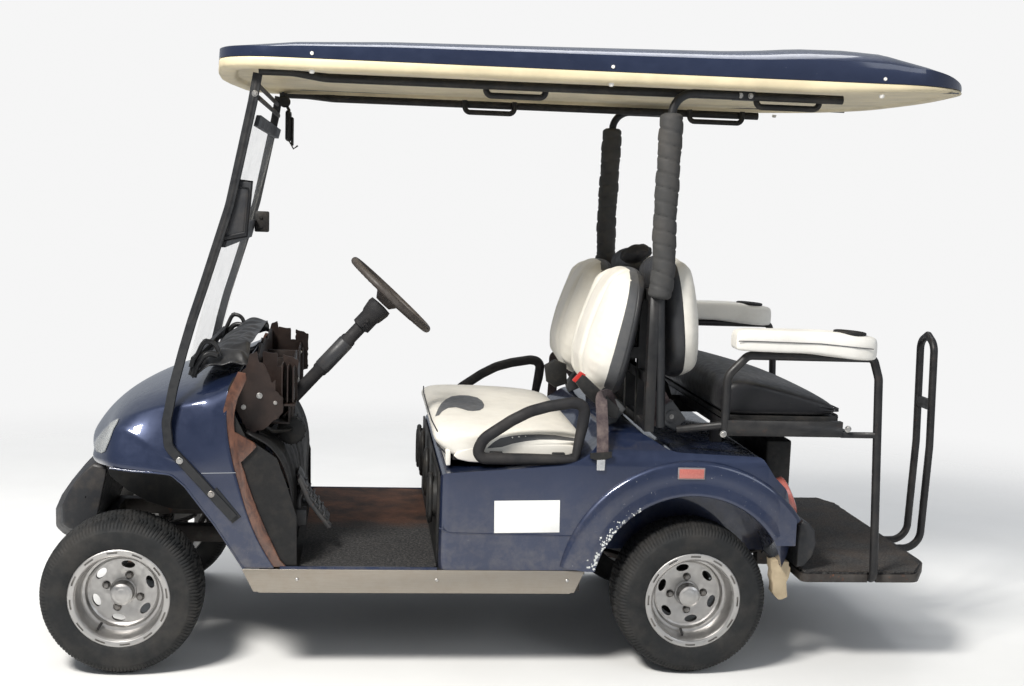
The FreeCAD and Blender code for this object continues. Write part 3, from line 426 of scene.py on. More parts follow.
def grained_plastic(name, colour, shine=0.5, grain=420.0, dirt=0.3, dirt_colour=(0.16, 0.13, 0.10)):
    f = Finish(name, colour, rough=shine, specular=0.4)
    tone = f.blend(f.between(f.noise(6.0, 4), 0.3, 0.7), [c * 0.85 for c in colour],
                   [c * 1.18 for c in colour])
    # Patches in dirt_colour: dirt, and on the dash plastic also a painted highlight.
    tone = f.blend(f.between(f.noise(18.0, 9, 0.7), 0.48, 0.8, 0.0, dirt), tone, dirt_colour)
    f.colour(tone)
    f.rough(f.between(f.noise(60.0, 4), 0.3, 0.7, shine - 0.07, shine + 0.12))
    f.bump(f.cells(grain), 0.28, 0.35)
    return f.material


def vinyl(name, colour, shine=0.42, dirt=0.25, wrinkle=0.25, dirt_colour=(0.30, 0.25, 0.18)):
    """Upholstery vinyl: fine pebble grain over slow wrinkles, dirt in patches."""
    f = Finish(name, colour, rough=shine, specular=0.42, sheen=0.04)
    tone = f.blend(f.between(f.noise(4.0, 4), 0.3, 0.7), [c * 0.9 for c in colour],
                   [min(1, c * 1.06) for c in colour])
    tone = f.blend(f.between(f.noise(11.0, 10, 0.72), 0.46, 0.82, 0.0, dirt), tone, dirt_colour)
    f.colour(tone)
    f.rough(f.between(f.noise(50.0, 4), 0.3, 0.7, shine - 0.06, shine + 0.1))
    slow = f.bump(f.noise(16.0, 3, 0.5, 0.6), wrinkle, 3.0)
    f.bump(f.cells(900.0), 0.16, 0.25, under=slow)
    return f.material


def bare_metal(name, colour, shine, grime, brush=(1, 1, 1), grime_colour=(0.12, 0.10, 0.08)):
    f = Finish(name, colour, rough=shine, metal=1.0)
    f.colour(f.blend(f.between(f.noise(25.0, 8, 0.7), 0.45, 0.8, 0.0, grime), colour, grime_colour))
    f.rough(f.between(f.noise(70.0, 5, source=f.stretched(brush)), 0.3, 0.7, shine - 0.08, shine + 0.16))
    f.bump(f.noise(260.0, 3, source=f.stretched(brush)), 0.08, 0.2)
    return f.material


def rubber(name, colour=(0.022, 0.022, 0.023), dust=0.35, grain=500.0):
    f = Finish(name, colour, rough=0.72, specular=0.3)
    f.colour(f.blend(f.between(f.noise(9.0, 9, 0.7), 0.42, 0.78, 0.0, dust), colour, (0.12, 0.105, 0.09)))
    f.rough(f.between(f.noise(30.0, 5), 0.3, 0.7, 0.62, 0.85))
    f.bump(f.noise(grain, 4), 0.22, 0.4)
    return f.material


def burl(name):
    """Reddish wood-grain film under clear coat."""
    f = Finish(name, (0.25, 0.07, 0.035), rough=0.35, coat=0.7, coat_rough=0.12)
    swirl = f.noise(26.0, 7, 0.62, 2.4, source=f.stretched((1, 1, 0.45), (0, 25, 0)))
    base = f.blend(f.between(swirl, 0.32, 0.68), (0.034, 0.012, 0.007), (0.125, 0.050, 0.027))
    base = f.blend(f.between(f.noise(95.0, 5, 0.6, 1.2), 0.60, 0.72, 0.0, 0.8), base, (0.020, 0.008, 0.006))
    base = f.blend(f.between(f.noise(12.0, 5), 0.6, 0.8, 0.0, 0.3), base, (0.20, 0.11, 0.07))
    f.colour(base)
    f.bump(f.noise(300.0, 3), 0.06, 0.2)
    return f.material


def clear_sheet(name, tint=(0.86, 0.87, 0.84), smoke=0.0):
    """Acrylic sheet: clear, with haze, fine scratches and patchy dirt."""
    f = Finish(name, tint, rough=0.08, specular=0.5)
    f.shader.inputs["Alpha"].default_value = 0.14
    dirt = f.between(f.noise(16.0, 9, 0.72), 0.45, 0.85, 0.07 + smoke, 0.26 + smoke)
    f.link(dirt, f.shader.inputs["Alpha"])
    f.rough(f.between(f.noise(40.0, 6), 0.3, 0.7, 0.05, 0.22))
    tone = f.blend(f.between(f.noise(8.0, 6), 0.4, 0.7), tint, (0.30, 0.27, 0.22))
    f.colour(tone)
    return f.material


def dress(node, finish, soften=0.0):
    """Gives a node its finish, smooth round surfaces and softened edges."""
    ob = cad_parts[node]
    if not ob.material_slots:
        ob.data.materials.append(finish)
    for s in ob.material_slots:
        s.material = finish
    for p in ob.data.polygons:
        p.use_smooth = True
    weld = ob.modifiers.new("Joined corners", "WELD")
    weld.merge_threshold = 0.00002
    if soften:
        edge = ob.modifiers.new("Soft edges", "BEVEL")
        edge.width = soften / 1000
        edge.segments = 2
        edge.limit_method = "ANGLE"
        edge.angle_limit = math.radians(42)
        edge.harden_normals = True
    else:
        split = ob.modifiers.new("Hard edges", "EDGE_SPLIT")
        split.split_angle = math.radians(36)


navy = car_paint("navy_paint")
black_steel = worn_black("black_steel", (0.009, 0.009, 0.010), 0.44, 0.22, 0.22)
leg_black = worn_black("leg_black", (0.010, 0.011, 0.013), 0.46, 0.16)
rusty_steel = worn_black("rusty_steel", (0.030, 0.025, 0.022), 0.6, 0.7, 0.9)
bumper_plastic = grained_plastic("bumper_plastic", (0.020, 0.021, 0.024), 0.50, 520.0, 0.30)
dark_plastic = grained_plastic("dark_plastic", (0.010, 0.010, 0.010), 0.55, 480.0, 0.22)
grey_plastic = grained_plastic("grey_plastic", (0.085, 0.088, 0.092), 0.5, 600.0, 0.3)
# Dark brown dash plastic; its lighter patches, in the colour of the dash's lit spots, are painted highlight
# as well as dust.
dash_brown = grained_plastic("dash_brown", (0.017, 0.010, 0.008), 0.44, 380.0, 0.5, (0.060, 0.036, 0.027))
cream_roof = grained_plastic("cream_roof", (0.70, 0.60, 0.40), 0.42, 700.0, 0.18, (0.42, 0.33, 0.20))
cream_vinyl = vinyl("cream_vinyl", (0.80, 0.77, 0.70), 0.40, 0.26)
white_vinyl = vinyl("white_vinyl", (0.82, 0.80, 0.75), 0.42, 0.28)
grey_vinyl = vinyl("grey_vinyl", (0.075, 0.077, 0.082), 0.42, 0.25, 0.2, (0.26, 0.24, 0.20))
black_vinyl = vinyl("black_vinyl", (0.008, 0.008, 0.010), 0.44, 0.16, 0.5, (0.06, 0.055, 0.05))
shell_grey = grained_plastic("shell_grey", (0.028, 0.029, 0.032), 0.44, 560.0, 0.25)
foam_grey = rubber("foam_grey", (0.048, 0.048, 0.048), 0.42, 260.0)
foam_black = rubber("foam_black", (0.014, 0.014, 0.016), 0.25, 320.0)
tyre_black = rubber("tyre_black", (0.013, 0.014, 0.015), 0.28, 380.0)
alloy = bare_metal("alloy", (0.45, 0.44, 0.43), 0.40, 0.35, (1, 1, 1), (0.33, 0.32, 0.30))
alloy_dark = bare_metal("alloy_dark", (0.26, 0.25, 0.24), 0.45, 0.7)
zinc = bare_metal("zinc", (0.52, 0.51, 0.49), 0.36, 0.6, (1, 1, 1), (0.17, 0.11, 0.07))
chrome = bare_metal("chrome", (0.80, 0.80, 0.80), 0.14, 0.2)
sill_silver = bare_metal("sill_silver", (0.36, 0.325, 0.28), 0.46, 0.45, (0.3, 1, 14), (0.30, 0.25, 0.20))
wood = burl("wood_trim")
clear = clear_sheet("clear_sheet")


# Wheels

def groove(phase, width):
    """1 in the middle of a groove, 0 on the block beside it; phase counts grooves."""
    d = abs((phase % 1.0) - 0.5)
    return max(0.0, min(1.0, (width - d) / (width * 0.45)))


def tyre_mesh():
    """One tyre about the Y axis at the origin, its outer side towards -Y."""
    bm = bmesh.new()
    origin = (MIDDLE, 0, 0)
    half = [(0, 229.5), (9, 229.45), (18, 229.3), (27, 229.1), (36, 228.8), (45, 228.3), (53, 227.6),
            (61, 226.6), (68, 225.2), (75, 223.2), (81, 220.6), (87, 217.0), (92, 212.3), (95.5, 207.5),
            (98.2, 202.5), (99.6, 199.5)]
    tread = [(-a, r) for a, r in half[:0:-1]] + half
    lathe(bm, tread, origin, (0, 1, 0), 780)
    for v in bm.verts:
        y = v.co.y * 1000
        r = math.hypot(v.co.x, v.co.z)
        turn = math.atan2(v.co.z, v.co.x) / math.tau
        side = 1 if y > 0 else -1
        across = abs(y)
        rib = groove(turn * 130 + side * 0.18 * math.sin(across / 14.0), 0.2)
        edge = max(0.0, min(1.0, (across - 58) / 10)) * max(0.0, min(1.0, (99.0 - across) / 1.5))
        swirl = groove(turn * 65 + 0.95 * math.sin(y / 34.0) + 0.35 * math.sin(y / 11.0), 0.12)
        slot = groove(turn * 32.5 + 0.25 - 0.95 * math.sin(y / 34.0), 0.055)
        inner = max(0.0, min(1.0, (80 - across) / 8))
        depth = max(rib * edge * 3.4, max(swirl, slot) * inner * 4.2)
        scale = (r - depth / 1000) / r
        v.co.x *= scale
        v.co.z *= scale
    wall = [(99.2, 200.5), (100.6, 198.0), (101.0, 196.5), (101.3, 194.5), (102.1, 188), (102.5, 178),
            (102.0, 168), (100.4, 158.5), (99.6, 157.0), (98.9, 154.2), (97.6, 150.2), (95.8, 147.4),
            (95.2, 145.8), (93.4, 144.6), (90, 138), (86, 128)]
    for s in (-1, 1):
        lathe(bm, [(s * a, r) for a, r in wall], origin, (0, 1, 0), 240)
    lathe(bm, [(-86, 128), (-60, 124), (60, 124), (86, 128)], origin, (0, 1, 0), 60)
    bmesh.ops.remove_doubles(bm, verts=bm.verts[:], dist=1e-6)
    bmesh.ops.recalc_face_normals(bm, faces=bm.faces[:])
    return bm


def rim_mesh():
    """One rim about the Y axis at the origin, outer face towards -Y: dished disc, vents, slots and nuts."""
    origin = (MIDDLE, 0, 0)
    body = [(8, 20), (8, 58), (9.5, 64), (10.5, 96), (14, 101), (27, 103.5), (30.5, 106), (32, 113),
            (36, 116), (62, 117.5), (84, 120.5), (90, 122.5), (93.4, 126), (95, 129), (95, 141.5),
            (93.4, 144), (89, 145.4), (86, 143), (84.5, 130), (80, 125.6), (-60, 122), (-85, 126), (-90, 145),
            (-93, 145), (-95, 142), (-92, 128), (-88, 120), (-40, 114), (-2, 112), (-2, 20)]
    bm = bmesh.new()
    lathe(bm, [(-a, r) for a, r in body] + [(-8, 20)], origin, (0, 1, 0), 144)
    bmesh.ops.remove_doubles(bm, verts=bm.verts[:], dist=0.00001)
    disc = piece("rim_blank", bm, alloy)
    cut = bmesh.new()
    for k in range(6):
        turn = Matrix.Rotation(math.radians(60 * k + 2), 4, "Y")
        made = bmesh.ops.create_cone(cut, cap_ends=True, segments=28, radius1=1, radius2=1,
                                     depth=0.07)["verts"]
        lay = Matrix.Rotation(math.radians(90), 4, "X") @ Matrix.Diagonal((0.0195, 0.0108, 1, 1))
        move_in(cut, made, turn @ Matrix.Translation((0, -0.008, 0.081)) @ lay)
    for k in range(12):
        turns = [math.radians(30 * k + 9) + t * math.radians(12.5) / 6 for t in range(7)]
        ring = [(138.0, t) for t in turns] + [(132.8, t) for t in turns[::-1]]
        plate(cut, [(MIDDLE + r * math.cos(t), r * math.sin(t)) for r, t in ring], -96.5, -91.0, "y")
    for k in range(4):
        turn = Matrix.Rotation(math.radians(90 * k + 12), 4, "Y")
        made = bmesh.ops.create_cone(cut, cap_ends=True, segments=24, radius1=0.0125, radius2=0.0125,
                                     depth=0.014)["verts"]
        move_in(cut, made,
                turn @ Matrix.Translation((0, -0.011, 0.051)) @ Matrix.Rotation(math.radians(90), 4, "X"))
    cutter = piece("rim_cutter", cut, alloy_dark)
    tool = disc.modifiers.new("Openings", "BOOLEAN")
    tool.object = cutter
    tool.solver = "EXACT"
    tool.material_mode = "TRANSFER"
    soft = disc.modifiers.new("Edges", "BEVEL")
    soft.width = 0.0008
    soft.segments = 1
    soft.angle_limit = math.radians(50)
    applied(disc)
    bm = bmesh.new()
    bm.from_mesh(disc.data)
    for ob in (disc, cutter):
        bpy.data.objects.remove(ob)
    lathe(bm, [(-7, 38.5), (-10, 38.5), (-11.5, 37), (-13, 33.5), (-46, 31.5), (-47.5, 32), (-50, 31.2),
               (-52.5, 26), (-53.5, 24), (-53.5, 20), (-55, 17), (-57, 9), (-57.5, 0)], origin, (0, 1, 0), 48)
    for k in range(4):
        a = math.radians(90 * k + 12)
        spot = (MIDDLE + 51 * math.sin(a), 0, 51 * math.cos(a))
        lathe(bm, [(-4, 9.6), (-15, 9.6), (-17, 8.6), (-18, 8)], spot, (0, 1, 0), 6, 1)
        lathe(bm, [(-17.5, 8.2), (-19.5, 6.8), (-20.3, 3.2), (-20.5, 0)], spot, (0, 1, 0), 18, 1)
    lathe(bm, [(-92, 124), (-95.4, 123)], origin, (0, 1, 0), 60)
    stem = Matrix.Rotation(math.radians(205), 4, "Y")
    made = bmesh.ops.create_cone(bm, cap_ends=True, segments=12, radius1=0.0042, radius2=0.0036,
                                 depth=0.034)["verts"]
    move_in(bm, made,
            stem @ Matrix.Translation((0, -0.055, 0.110)) @ Matrix.Rotation(math.radians(75), 4, "X"))
    for f in {f for v in made for f in v.link_faces}:
        f.material_index = 2
    bmesh.ops.recalc_face_normals(bm, faces=bm.faces[:])
    return bm


def wheel_copy(source, x, side, spin):
    """The wheel's mesh put on its axle, mirrored for the right side and turned as it stopped."""
    bm = source.copy()
    turn = Matrix.Rotation(math.radians(spin), 4, "Y")
    flip = Matrix.Diagonal((1, -side, 1, 1))
    move_in(bm, bm.verts[:], Matrix.Translation(at(x, side * HALF_TRACK, AXLE_Z)) @ flip @ turn)
    return bm


tyre_source = tyre_mesh()
rim_source = rim_mesh()
SPINS = {"front_left": 8, "front_right": 40, "rear_left": -14, "rear_right": 65}
for where, x, side in WHEELS:
    body = "wheel_" + where
    piece("tread_tyre_" + where, wheel_copy(tyre_source, x, side, SPINS[where]), tyre_black, body,
          ["tyre_" + where], sharp=50)
    piece("dished_rim_" + where, wheel_copy(rim_source, x, side, SPINS[where]),
          [alloy, alloy_dark, foam_black], body, ["rim_" + where], sharp=32)


# Finishes of the plain pieces

for finish, soften, nodes in [
        (rusty_steel, 0.8, ["knuckle_left", "knuckle_right", "front_axle", "leaf_springs", "footplate"]),
        (rusty_steel, 1.0, ["frame"]), (rusty_steel, 0, ["rear_axle", "tie_rod", "steering_rack"]),
        (worn_black("motor_grey", (0.06, 0.06, 0.06), 0.5, 0.8, 0.5), 0, ["drive_motor"]),
        (dark_plastic, 1.5, ["battery_pack"]), (dark_plastic, 1.0, ["floor_pan", "seat_lid"]),
        (dark_plastic, 0.8, ["kick_panel", "bench_board"]), (dark_plastic, 0, ["roof_rails"]),
        (sill_silver, 0.8, ["rocker_trims"]), (clear, 0, ["windshield"]), (leg_black, 0, ["windshield_bars"]),
        (navy, 0, ["seat_pod"]), (black_steel, 0.8, ["seat_frame", "bench_base"]),
        (black_steel, 1.5, ["bench_side_left", "bench_side_right"]), (black_steel, 0, ["grab_bar"])]:
    for node in nodes:
        dress(node, finish, soften)

# Cabin floor mat: rust-brown on its far half, speckled grey on its near half
mat = Finish("cabin_mat", (0.02, 0.02, 0.02), rough=0.8, specular=0.3)
specks = mat.between(mat.noise(120.0, 7, 0.8), 0.46, 0.66)
near_half = mat.blend(mat.calc("MULTIPLY", specks, 0.8), (0.014, 0.014, 0.015), (0.11, 0.105, 0.10))
far_half = mat.blend(mat.between(mat.noise(9.0, 9, 0.7), 0.35, 0.7), (0.020, 0.012, 0.009),
                     (0.115, 0.050, 0.028))
split = mat.between(mat.calc("ADD", mat.axis("Y"), mat.calc("MULTIPLY", mat.noise(5.0, 5), 0.25)), 0.05, 0.16)
mat.colour(mat.blend(split, near_half, far_half))
mat.bump(mat.cells(150.0), 0.7, 1.2)
dress("floor_mats", mat.material)


# Roof

ROOF_MIDDLE = 1367.5
LIP_TOP = 1760.0


def roof_edge():
    """The roof's outline seen from above, as (x, y) all the way round."""
    loop = smooth_path([(1367, -560, 0), (275, -560, 0, 165), (215, 0, 0, 1500), (275, 560, 0, 165),
                        (2440, 560, 0, 260), (2512, 0, 0, 1500), (2440, -560, 0, 260), (1367, -560, 0)], 4.5)
    out = []
    for a, b in zip(loop, loop[1:]):
        count = max(1, round((b - a).length / 45))
        out += [((a + (b - a) * k / count).x, (a + (b - a) * k / count).y) for k in range(count)]
    return out


def along(table, x):
    """Reads a table of (x, value) between its rows."""
    if x <= table[0][0]:
        return table[0][1]
    for (a, va), (b, vb) in zip(table, table[1:]):
        if x <= b:
            return va + (vb - va) * (x - a) / (b - a)
    return table[-1][1]


CROWN = [(215, 1764), (235, 1783), (285, 1792), (480, 1817), (741, 1830), (1250, 1840), (1700, 1850),
         (1800, 1856), (1920, 1867), (2060, 1869), (2170, 1862), (2291, 1830), (2380, 1798), (2450, 1772),
         (2520, 1760)]


def crown(x, y):
    """Height of the roof's skin: it rolls up from the lip and is nearly flat across its middle."""
    side = max(0.0, 1 - (abs(y) / 566) ** 5) ** 0.42
    return LIP_TOP + 4 + (along(CROWN, x) - LIP_TOP - 4) * (0.30 + 0.70 * side) * min(1.0, 0.25 + side * 3)


def lip_low(x):
    return 1729 + max(0.0, x - 1960) * 22 / 560


edge = roof_edge()


def inset(point, d):
    x, y = point
    return (ROOF_MIDDLE + (x - ROOF_MIDDLE) * (1 - d / 1152), y * (1 - d / 560))


skin_rows = []
for d, level in [(5.5, 1759.4), (1.5, 1760.2), (0.5, 1763.5)] + [
        (d, None) for d in (1.5, 5, 12, 24, 42, 70, 110, 170, 250, 340, 430, 510, 556)]:
    row = [inset(p, d) for p in edge]
    skin_rows.append([(x, y, level or crown(x, y)) for x, y in row])
bm = bmesh.new()
skin(bm, [r + r[:1] for r in skin_rows])
bmesh.ops.remove_doubles(bm, verts=bm.verts[:], dist=0.00005)
bmesh.ops.holes_fill(bm, edges=[e for e in bm.edges if e.is_boundary and e.verts[0].co.z > at(0, 0, 1800).z],
                     sides=0)
piece("roof_crown", bm, navy, instead_of=["roof_skin"], sharp=40)

bm = bmesh.new()
liner_rows = []
for d, z in ((7, 1759.2), (3, 1758.6), (0.8, 1756), (0, 1750), (0.3, 1741), (2.5, 1734.5), (7, 1730.6),
             (14, 1729), (36, 1729), (44, 1730), (50, 1734), (54, 1741), (60, 1745), (150, 1746.5),
             (300, 1747), (450, 1747), (556, 1747)):
    row = []
    for p in edge:
        x, y = inset(p, d)
        low_z = lip_low(x)
        row.append((x, y,
                    LIP_TOP - (LIP_TOP - z) * (LIP_TOP - low_z) / 31 if z < 1746 else max(z, low_z + 6)))
    liner_rows.append(row)
skin(bm, [r + r[:1] for r in liner_rows])
bmesh.ops.remove_doubles(bm, verts=bm.verts[:], dist=0.00005)
piece("roof_lip", bm, cream_roof, instead_of=["roof_liner"], sharp=44)

bm = bmesh.new()
for x in (524, 1361, 2152):
    for s in (LEFT, RIGHT):
        bolt(bm, x, s * 556.5, 1772, 5.5, 6, (0, s, 0.1))
        lathe(bm, [(0, 8), (7, 7.5), (10, 5), (10, 0)], (x, s * 540, 1729.5), (0, 0, -1), 16)
piece("roof_bolts", bm, white_vinyl)
bm = bmesh.new()
for s in (LEFT, RIGHT):
    bar(bm, [(300, s * 500, 1745.5), (1367, s * 506, 1745.8), (2400, s * 500, 1746.2)], 2.2, 8)
piece("roof_seams", bm, grey_vinyl)


# Front cowl

COWL_LINES = [
    [(-142, -380, 590), (-116, -452, 598), (-72, -512, 606), (-27, -542, 606), (35, -555, 601),
     (96, -560, 598), (146, -560, 593), (200, -560, 590), (262, -560, 588), (327, -560, 588)],
    [(-152, -384, 604), (-124, -456, 612), (-78, -516, 622), (-30, -545, 630), (33, -557, 632),
     (94, -561, 622), (146, -561, 606), (200, -561, 606), (260, -561, 612), (318, -561, 620)],
    [(-146, -382, 622), (-116, -446, 640), (-78, -490, 668), (-36, -512, 704), (-3, -520, 724),
     (46, -540, 697), (96, -553, 664), (146, -560, 628), (215, -561, 640), (304, -561, 690)],
    [(-142, -378, 632), (-106, -436, 656), (-70, -474, 688), (-30, -494, 716), (10, -506, 732),
     (55, -520, 730), (106, -534, 726), (158, -548, 716), (225, -556, 728), (296, -560, 765)],
    [(-134, -366, 642), (-96, -420, 672), (-60, -452, 704), (-24, -474, 728), (12, -488, 746),
     (60, -500, 762), (112, -512, 780), (170, -532, 786), (240, -545, 800), (306, -550, 846)],
    [(-146, -300, 642), (-112, -330, 680), (-72, -345, 718), (-32, -360, 750), (14, -380, 778),
     (66, -400, 800), (120, -425, 816), (180, -455, 828), (256, -480, 846), (326, -495, 876)],
    [(-164, -160, 640), (-132, -170, 684), (-90, -180, 724), (-44, -190, 758), (6, -200, 786),
     (64, -215, 809), (124, -230, 829), (190, -250, 848), (262, -270, 866), (334, -280, 888)],
    [(-170, 0, 640), (-138, 0, 688), (-96, 0, 728), (-48, 0, 764), (4, 0, 792), (64, 0, 815), (126, 0, 836),
     (194, 0, 856), (264, 0, 872), (338, 0, 890)],
]


def blunt(points):
    """Draws the nose's corners back, so that the cowl is rounder seen from above."""
    out = []
    for x, y, z in points:
        side = along([(0, 0.15), (160, 0.62), (300, 1), (560, 1)], abs(y))
        out.append((x + 44 * side * max(0.0, min(1.0, (-12 - x) / 95)) * max(0.0, min(1.0, (790 - z) / 120)),
                    y, z))
    return out


def cowl():
    bm = bmesh.new()
    lines = [blunt(line) for line in COWL_LINES]
    skin(bm, lines)
    front = [lines[0][0]] + blunt([(-152, -300, 588), (-166, -160, 586), (-171, 0, 585)])
    nose = [lines[1][0]] + blunt([(-158, -300, 606), (-172, -160, 606), (-177, 0, 606)])
    brow = [lines[2][0]] + blunt([(-154, -300, 624), (-170, -160, 624), (-175, 0, 624)])
    for low, high in ((front, nose), (nose, brow), (brow, [lines[k][0] for k in (3, 5, 6, 7)])):
        skin(bm, [low, high])
    bm.faces.new([bm.verts.new(at(*lines[k][0])) for k in (3, 4, 5)])
    edge_x = [(593, 146), (561, 183), (510, 221), (452, 265), (386, 309), (350, 329), (318.8, 349)]
    trim_x = [(588, 327), (540, 340), (490, 354), (440, 372), (390, 394), (350, 416), (318.8, 438)]
    lower = [lines[0][6:]]
    for z in (545, 490, 430, 375, 318.8):
        a, b = along(sorted(edge_x), z), along(sorted(trim_x), z)
        lower.append([(a + (b - a) * t, -560.5, z) for t in (0, 0.3, 0.63, 1)])
    skin(bm, lower)
    bmesh.ops.remove_doubles(bm, verts=bm.verts[:], dist=0.0004)
    bmesh.ops.recalc_face_normals(bm, faces=bm.faces[:])
    sharp = [lines[4][4:9], lines[2][4:9]]
    spots = [[at(*p) for p in line] for line in sharp]

    def on_crease(e):
        for line in spots:
            for a, b in zip(line, line[1:]):
                if {True} == {min((v.co - a).length, (v.co - b).length) < 0.001 for v in e.verts}:
                    return True
        return False
    crease(bm, on_crease, 0.75)
    crease(bm, lambda e: e.is_boundary and all(v.co.y < -0.001 for v in e.verts), 0.9)
    mirror_over(bm)
    return bm


piece("cowl_skin", cowl(), navy, instead_of=["front_cowl"], subdivide=3, thick=4)

# A dark folded edge along the arch, and the pale seam between the cowl's two mouldings
bm = bmesh.new()
bar(bm, [(-27, -543, 604, 30), (35, -556, 599, 40), (96, -560, 596, 30), (146, -560, 591, 30),
         (183, -560, 559, 60), (221, -560, 508, 60), (265, -560, 450, 60), (349, -560, 320)], 3.2, 10)
mirror_over(bm)
piece("arch_bead", bm, navy)
bm = bmesh.new()
plate(bm, [(230, 595.6), (326, 598.4), (326, 600), (230, 597.2)], -562.2, -560, "y")
mirror_over(bm)
piece("cowl_seam", bm, grained_plastic("seam_pale", (0.34, 0.36, 0.40), 0.5))

# Finishes of the headlamps
silver = bare_metal("lamp_silver", (0.72, 0.72, 0.70), 0.22, 0.15)
lens = clear_sheet("lamp_clear", (0.85, 0.87, 0.86), 0.12)

# Wheel-arch flare and mouldings of the rear body

ARCH = (1658.0, 252.0)


def swept_arch(bm, profile, first, last, steps, side):
    """Sweeps a profile of (radius, outwards) round the arch from one angle to the other, in degrees."""
    turns = [math.radians(first + (last - first) * k / steps) for k in range(steps + 1)]
    skin(bm, [[(ARCH[0] + r * math.cos(a), side * (560 + out), ARCH[1] + r * math.sin(a))
               for r, out in profile]
              for a in turns])


bm = bmesh.new()
for s in (LEFT, RIGHT):
    swept_arch(bm, [(401, -1), (400, 1.2), (397, 5.5), (392, 9.2), (386, 10.6), (372, 11.6), (350, 11.4),
                    (334, 10.8), (326, 11.4), (312, 14.0), (303, 15.0), (298, 14.2), (295.5, 11.5),
                    (294.6, 7), (294.4, -4), (294.4, -20)], 168.5, 34, 96, s)
for v in bm.verts:
    v.co.y *= 1 - 0.02 * along([(1900, 0), (1985, 1)], v.co.x * 1000 + MIDDLE)
    v.co.z = max(v.co.z, 0.3185)
piece("arch_flares", bm, car_paint("flare_paint", 0.715), sharp=50)

bm = bmesh.new()
for s in (LEFT, RIGHT):
    bar(bm, [(908, s * 560.5, 444), (938, s * 560.5, 429, 30), (1301, s * 560.5, 423)], 2.0, 8)
    bar(bm, [(1306, s * 560.3, 423), (1306, s * 560.3, 319)], 1.0, 6)
piece("body_mouldings", bm, navy)
bm = bmesh.new()
plate(bm, [(1069, 430), (1261, 434), (1259, 530), (1067, 526)], -562.2, -560.2, "y", 0.6)
piece("number_plate_blank", bm, grained_plastic("plate_white", (0.78, 0.78, 0.76), 0.4, 900.0, 0.12))
bm = bmesh.new()
block(bm, (1603, 1684), (-576, -569), (599, 634), 2)
mirror_over(bm)
piece("reflector_frames", bm, grained_plastic("frame_grey", (0.20, 0.19, 0.20), 0.5),
      instead_of=["rear_lamps"])
bm = bmesh.new()
block(bm, (1606.5, 1680.5), (-577.4, -573), (602.5, 630.5), 1)
mirror_over(bm)
reflex = Finish("reflector_red", (0.56, 0.16, 0.13), rough=0.3, coat=0.5)
reflex.colour(reflex.blend(reflex.between(reflex.cells(420.0), 0.0, 0.6), (0.60, 0.21, 0.17),
                           (0.40, 0.11, 0.09)))
reflex.bump(reflex.cells(420.0), 0.4, 0.6)
piece("reflectors", bm, reflex.material)
bm = bmesh.new()
for s in (LEFT, RIGHT):
    made = lathe(bm, [(-30, 46), (-14, 46), (-8, 43), (-5, 36), (-4, 0)], (1992, s * 438, 530),
                 (0.96, 0, 0.28), 40)
    for v in made:
        v.co.z = 0.53 + (v.co.z - 0.53) * 1.35
        v.co.x -= (v.co.z - 0.53) * 0.22
piece("tail_lamps", bm, reflex.material)


# Strap legs and windshield

def flat_run(bm, side, points, wide, deep, mat=0):
    """A flat strap along a path, its broad faces turned outwards, with rounded long edges."""
    path = smooth_path([(x, side * y, z) + ((b[0],) if b else ()) for x, y, z, *b in points], 8.0)
    rows = []
    for k, p in enumerate(path):
        ahead = (path[min(k + 1, len(path) - 1)] - path[max(k - 1, 0)]).normalized()
        outward = Vector((0, side, 0))
        across = ahead.cross(outward).normalized()
        face = across.cross(ahead).normalized()
        ring = []
        for u, v in ((-0.5, -0.5), (-0.5, 0.32), (-0.44, 0.5), (0.44, 0.5), (0.5, 0.32), (0.5, -0.5)):
            q = p + across * (u * wide) + face * (v * deep)
            ring.append((q.x, q.y, q.z))
        rows.append(ring + ring[:1])
    grid = skin(bm, rows, mat)
    bmesh.ops.remove_doubles(bm, verts=grid, dist=0.00002)
    close_ends(bm)


LEG_PATH = [(373, 489, 1718), (360, 492, 1640, 60), (299, 494, 1351, 300), (229, 500, 1125, 300),
            (197, 506, 1025, 300), (174, 520, 940, 200), (150, 540, 840, 120), (133, 561, 740, 40),
            (140, 567, 672, 40), (322, 567, 470)]
bm = bmesh.new()
for s in (LEFT, RIGHT):
    flat_run(bm, s, LEG_PATH, 26, 14)
    flat_run(bm, s, [(x + 1, y + 7, z, *b) for x, y, z, *b in LEG_PATH[:5]], 8, 1.4, 1)
    flat_run(bm, s, [(262, 563, 546), (330, 563, 462)], 30, 7)
piece("strap_legs", bm, [leg_black, black_steel], instead_of=["canopy_frame"])
bm = bmesh.new()
for s in (LEFT, RIGHT):
    for x, z in ((171, 634), (259, 539)):
        bolt(bm, x, s * 574, z, 6.5, 6.5, (0, s, 0))
    bolt(bm, 366, s * 498, 1662, 6, 6, (0, s, 0))
piece("leg_bolts", bm, zinc)

bm = bmesh.new()
for z, back in ((1690, 11), (1652, 6)):
    bar(bm, [(381 - back, -470, z), (381 - back, 470, z)], 8, 10, flat=0.6)
piece("windshield_crossbars", bm, rusty_steel)
bm = bmesh.new()
plate(bm, [(320, 1425), (362, 1421), (349, 1263), (274, 1247), (287, 1323)], -486, -478, "y", 10, 4)
plate(bm, [(312, 1405), (350, 1402), (341, 1275), (288, 1262), (296, 1330)], -488.5, -485, "y", 8, 3)
piece("visor_bracket", bm, shell_grey)
bm = bmesh.new()
block(bm, (295, 345), (462, 486), (1250, 1322), 5)
block(bm, (298, 342), (484, 496), (1268, 1306), 4)
bolt(bm, 318, 461, 1300, 5, 5, (0, -1, 0))
bolt(bm, 318, 461, 1268, 5, 5, (0, -1, 0))
piece("leg_box", bm, dark_plastic)
bm = bmesh.new()
bar(bm, [(398, 300, 1722), (404, 300, 1690, 12), (420, 296, 1660)], 5, 12)
bar(bm, [(396, 316, 1722), (402, 314, 1676)], 3.5, 10)
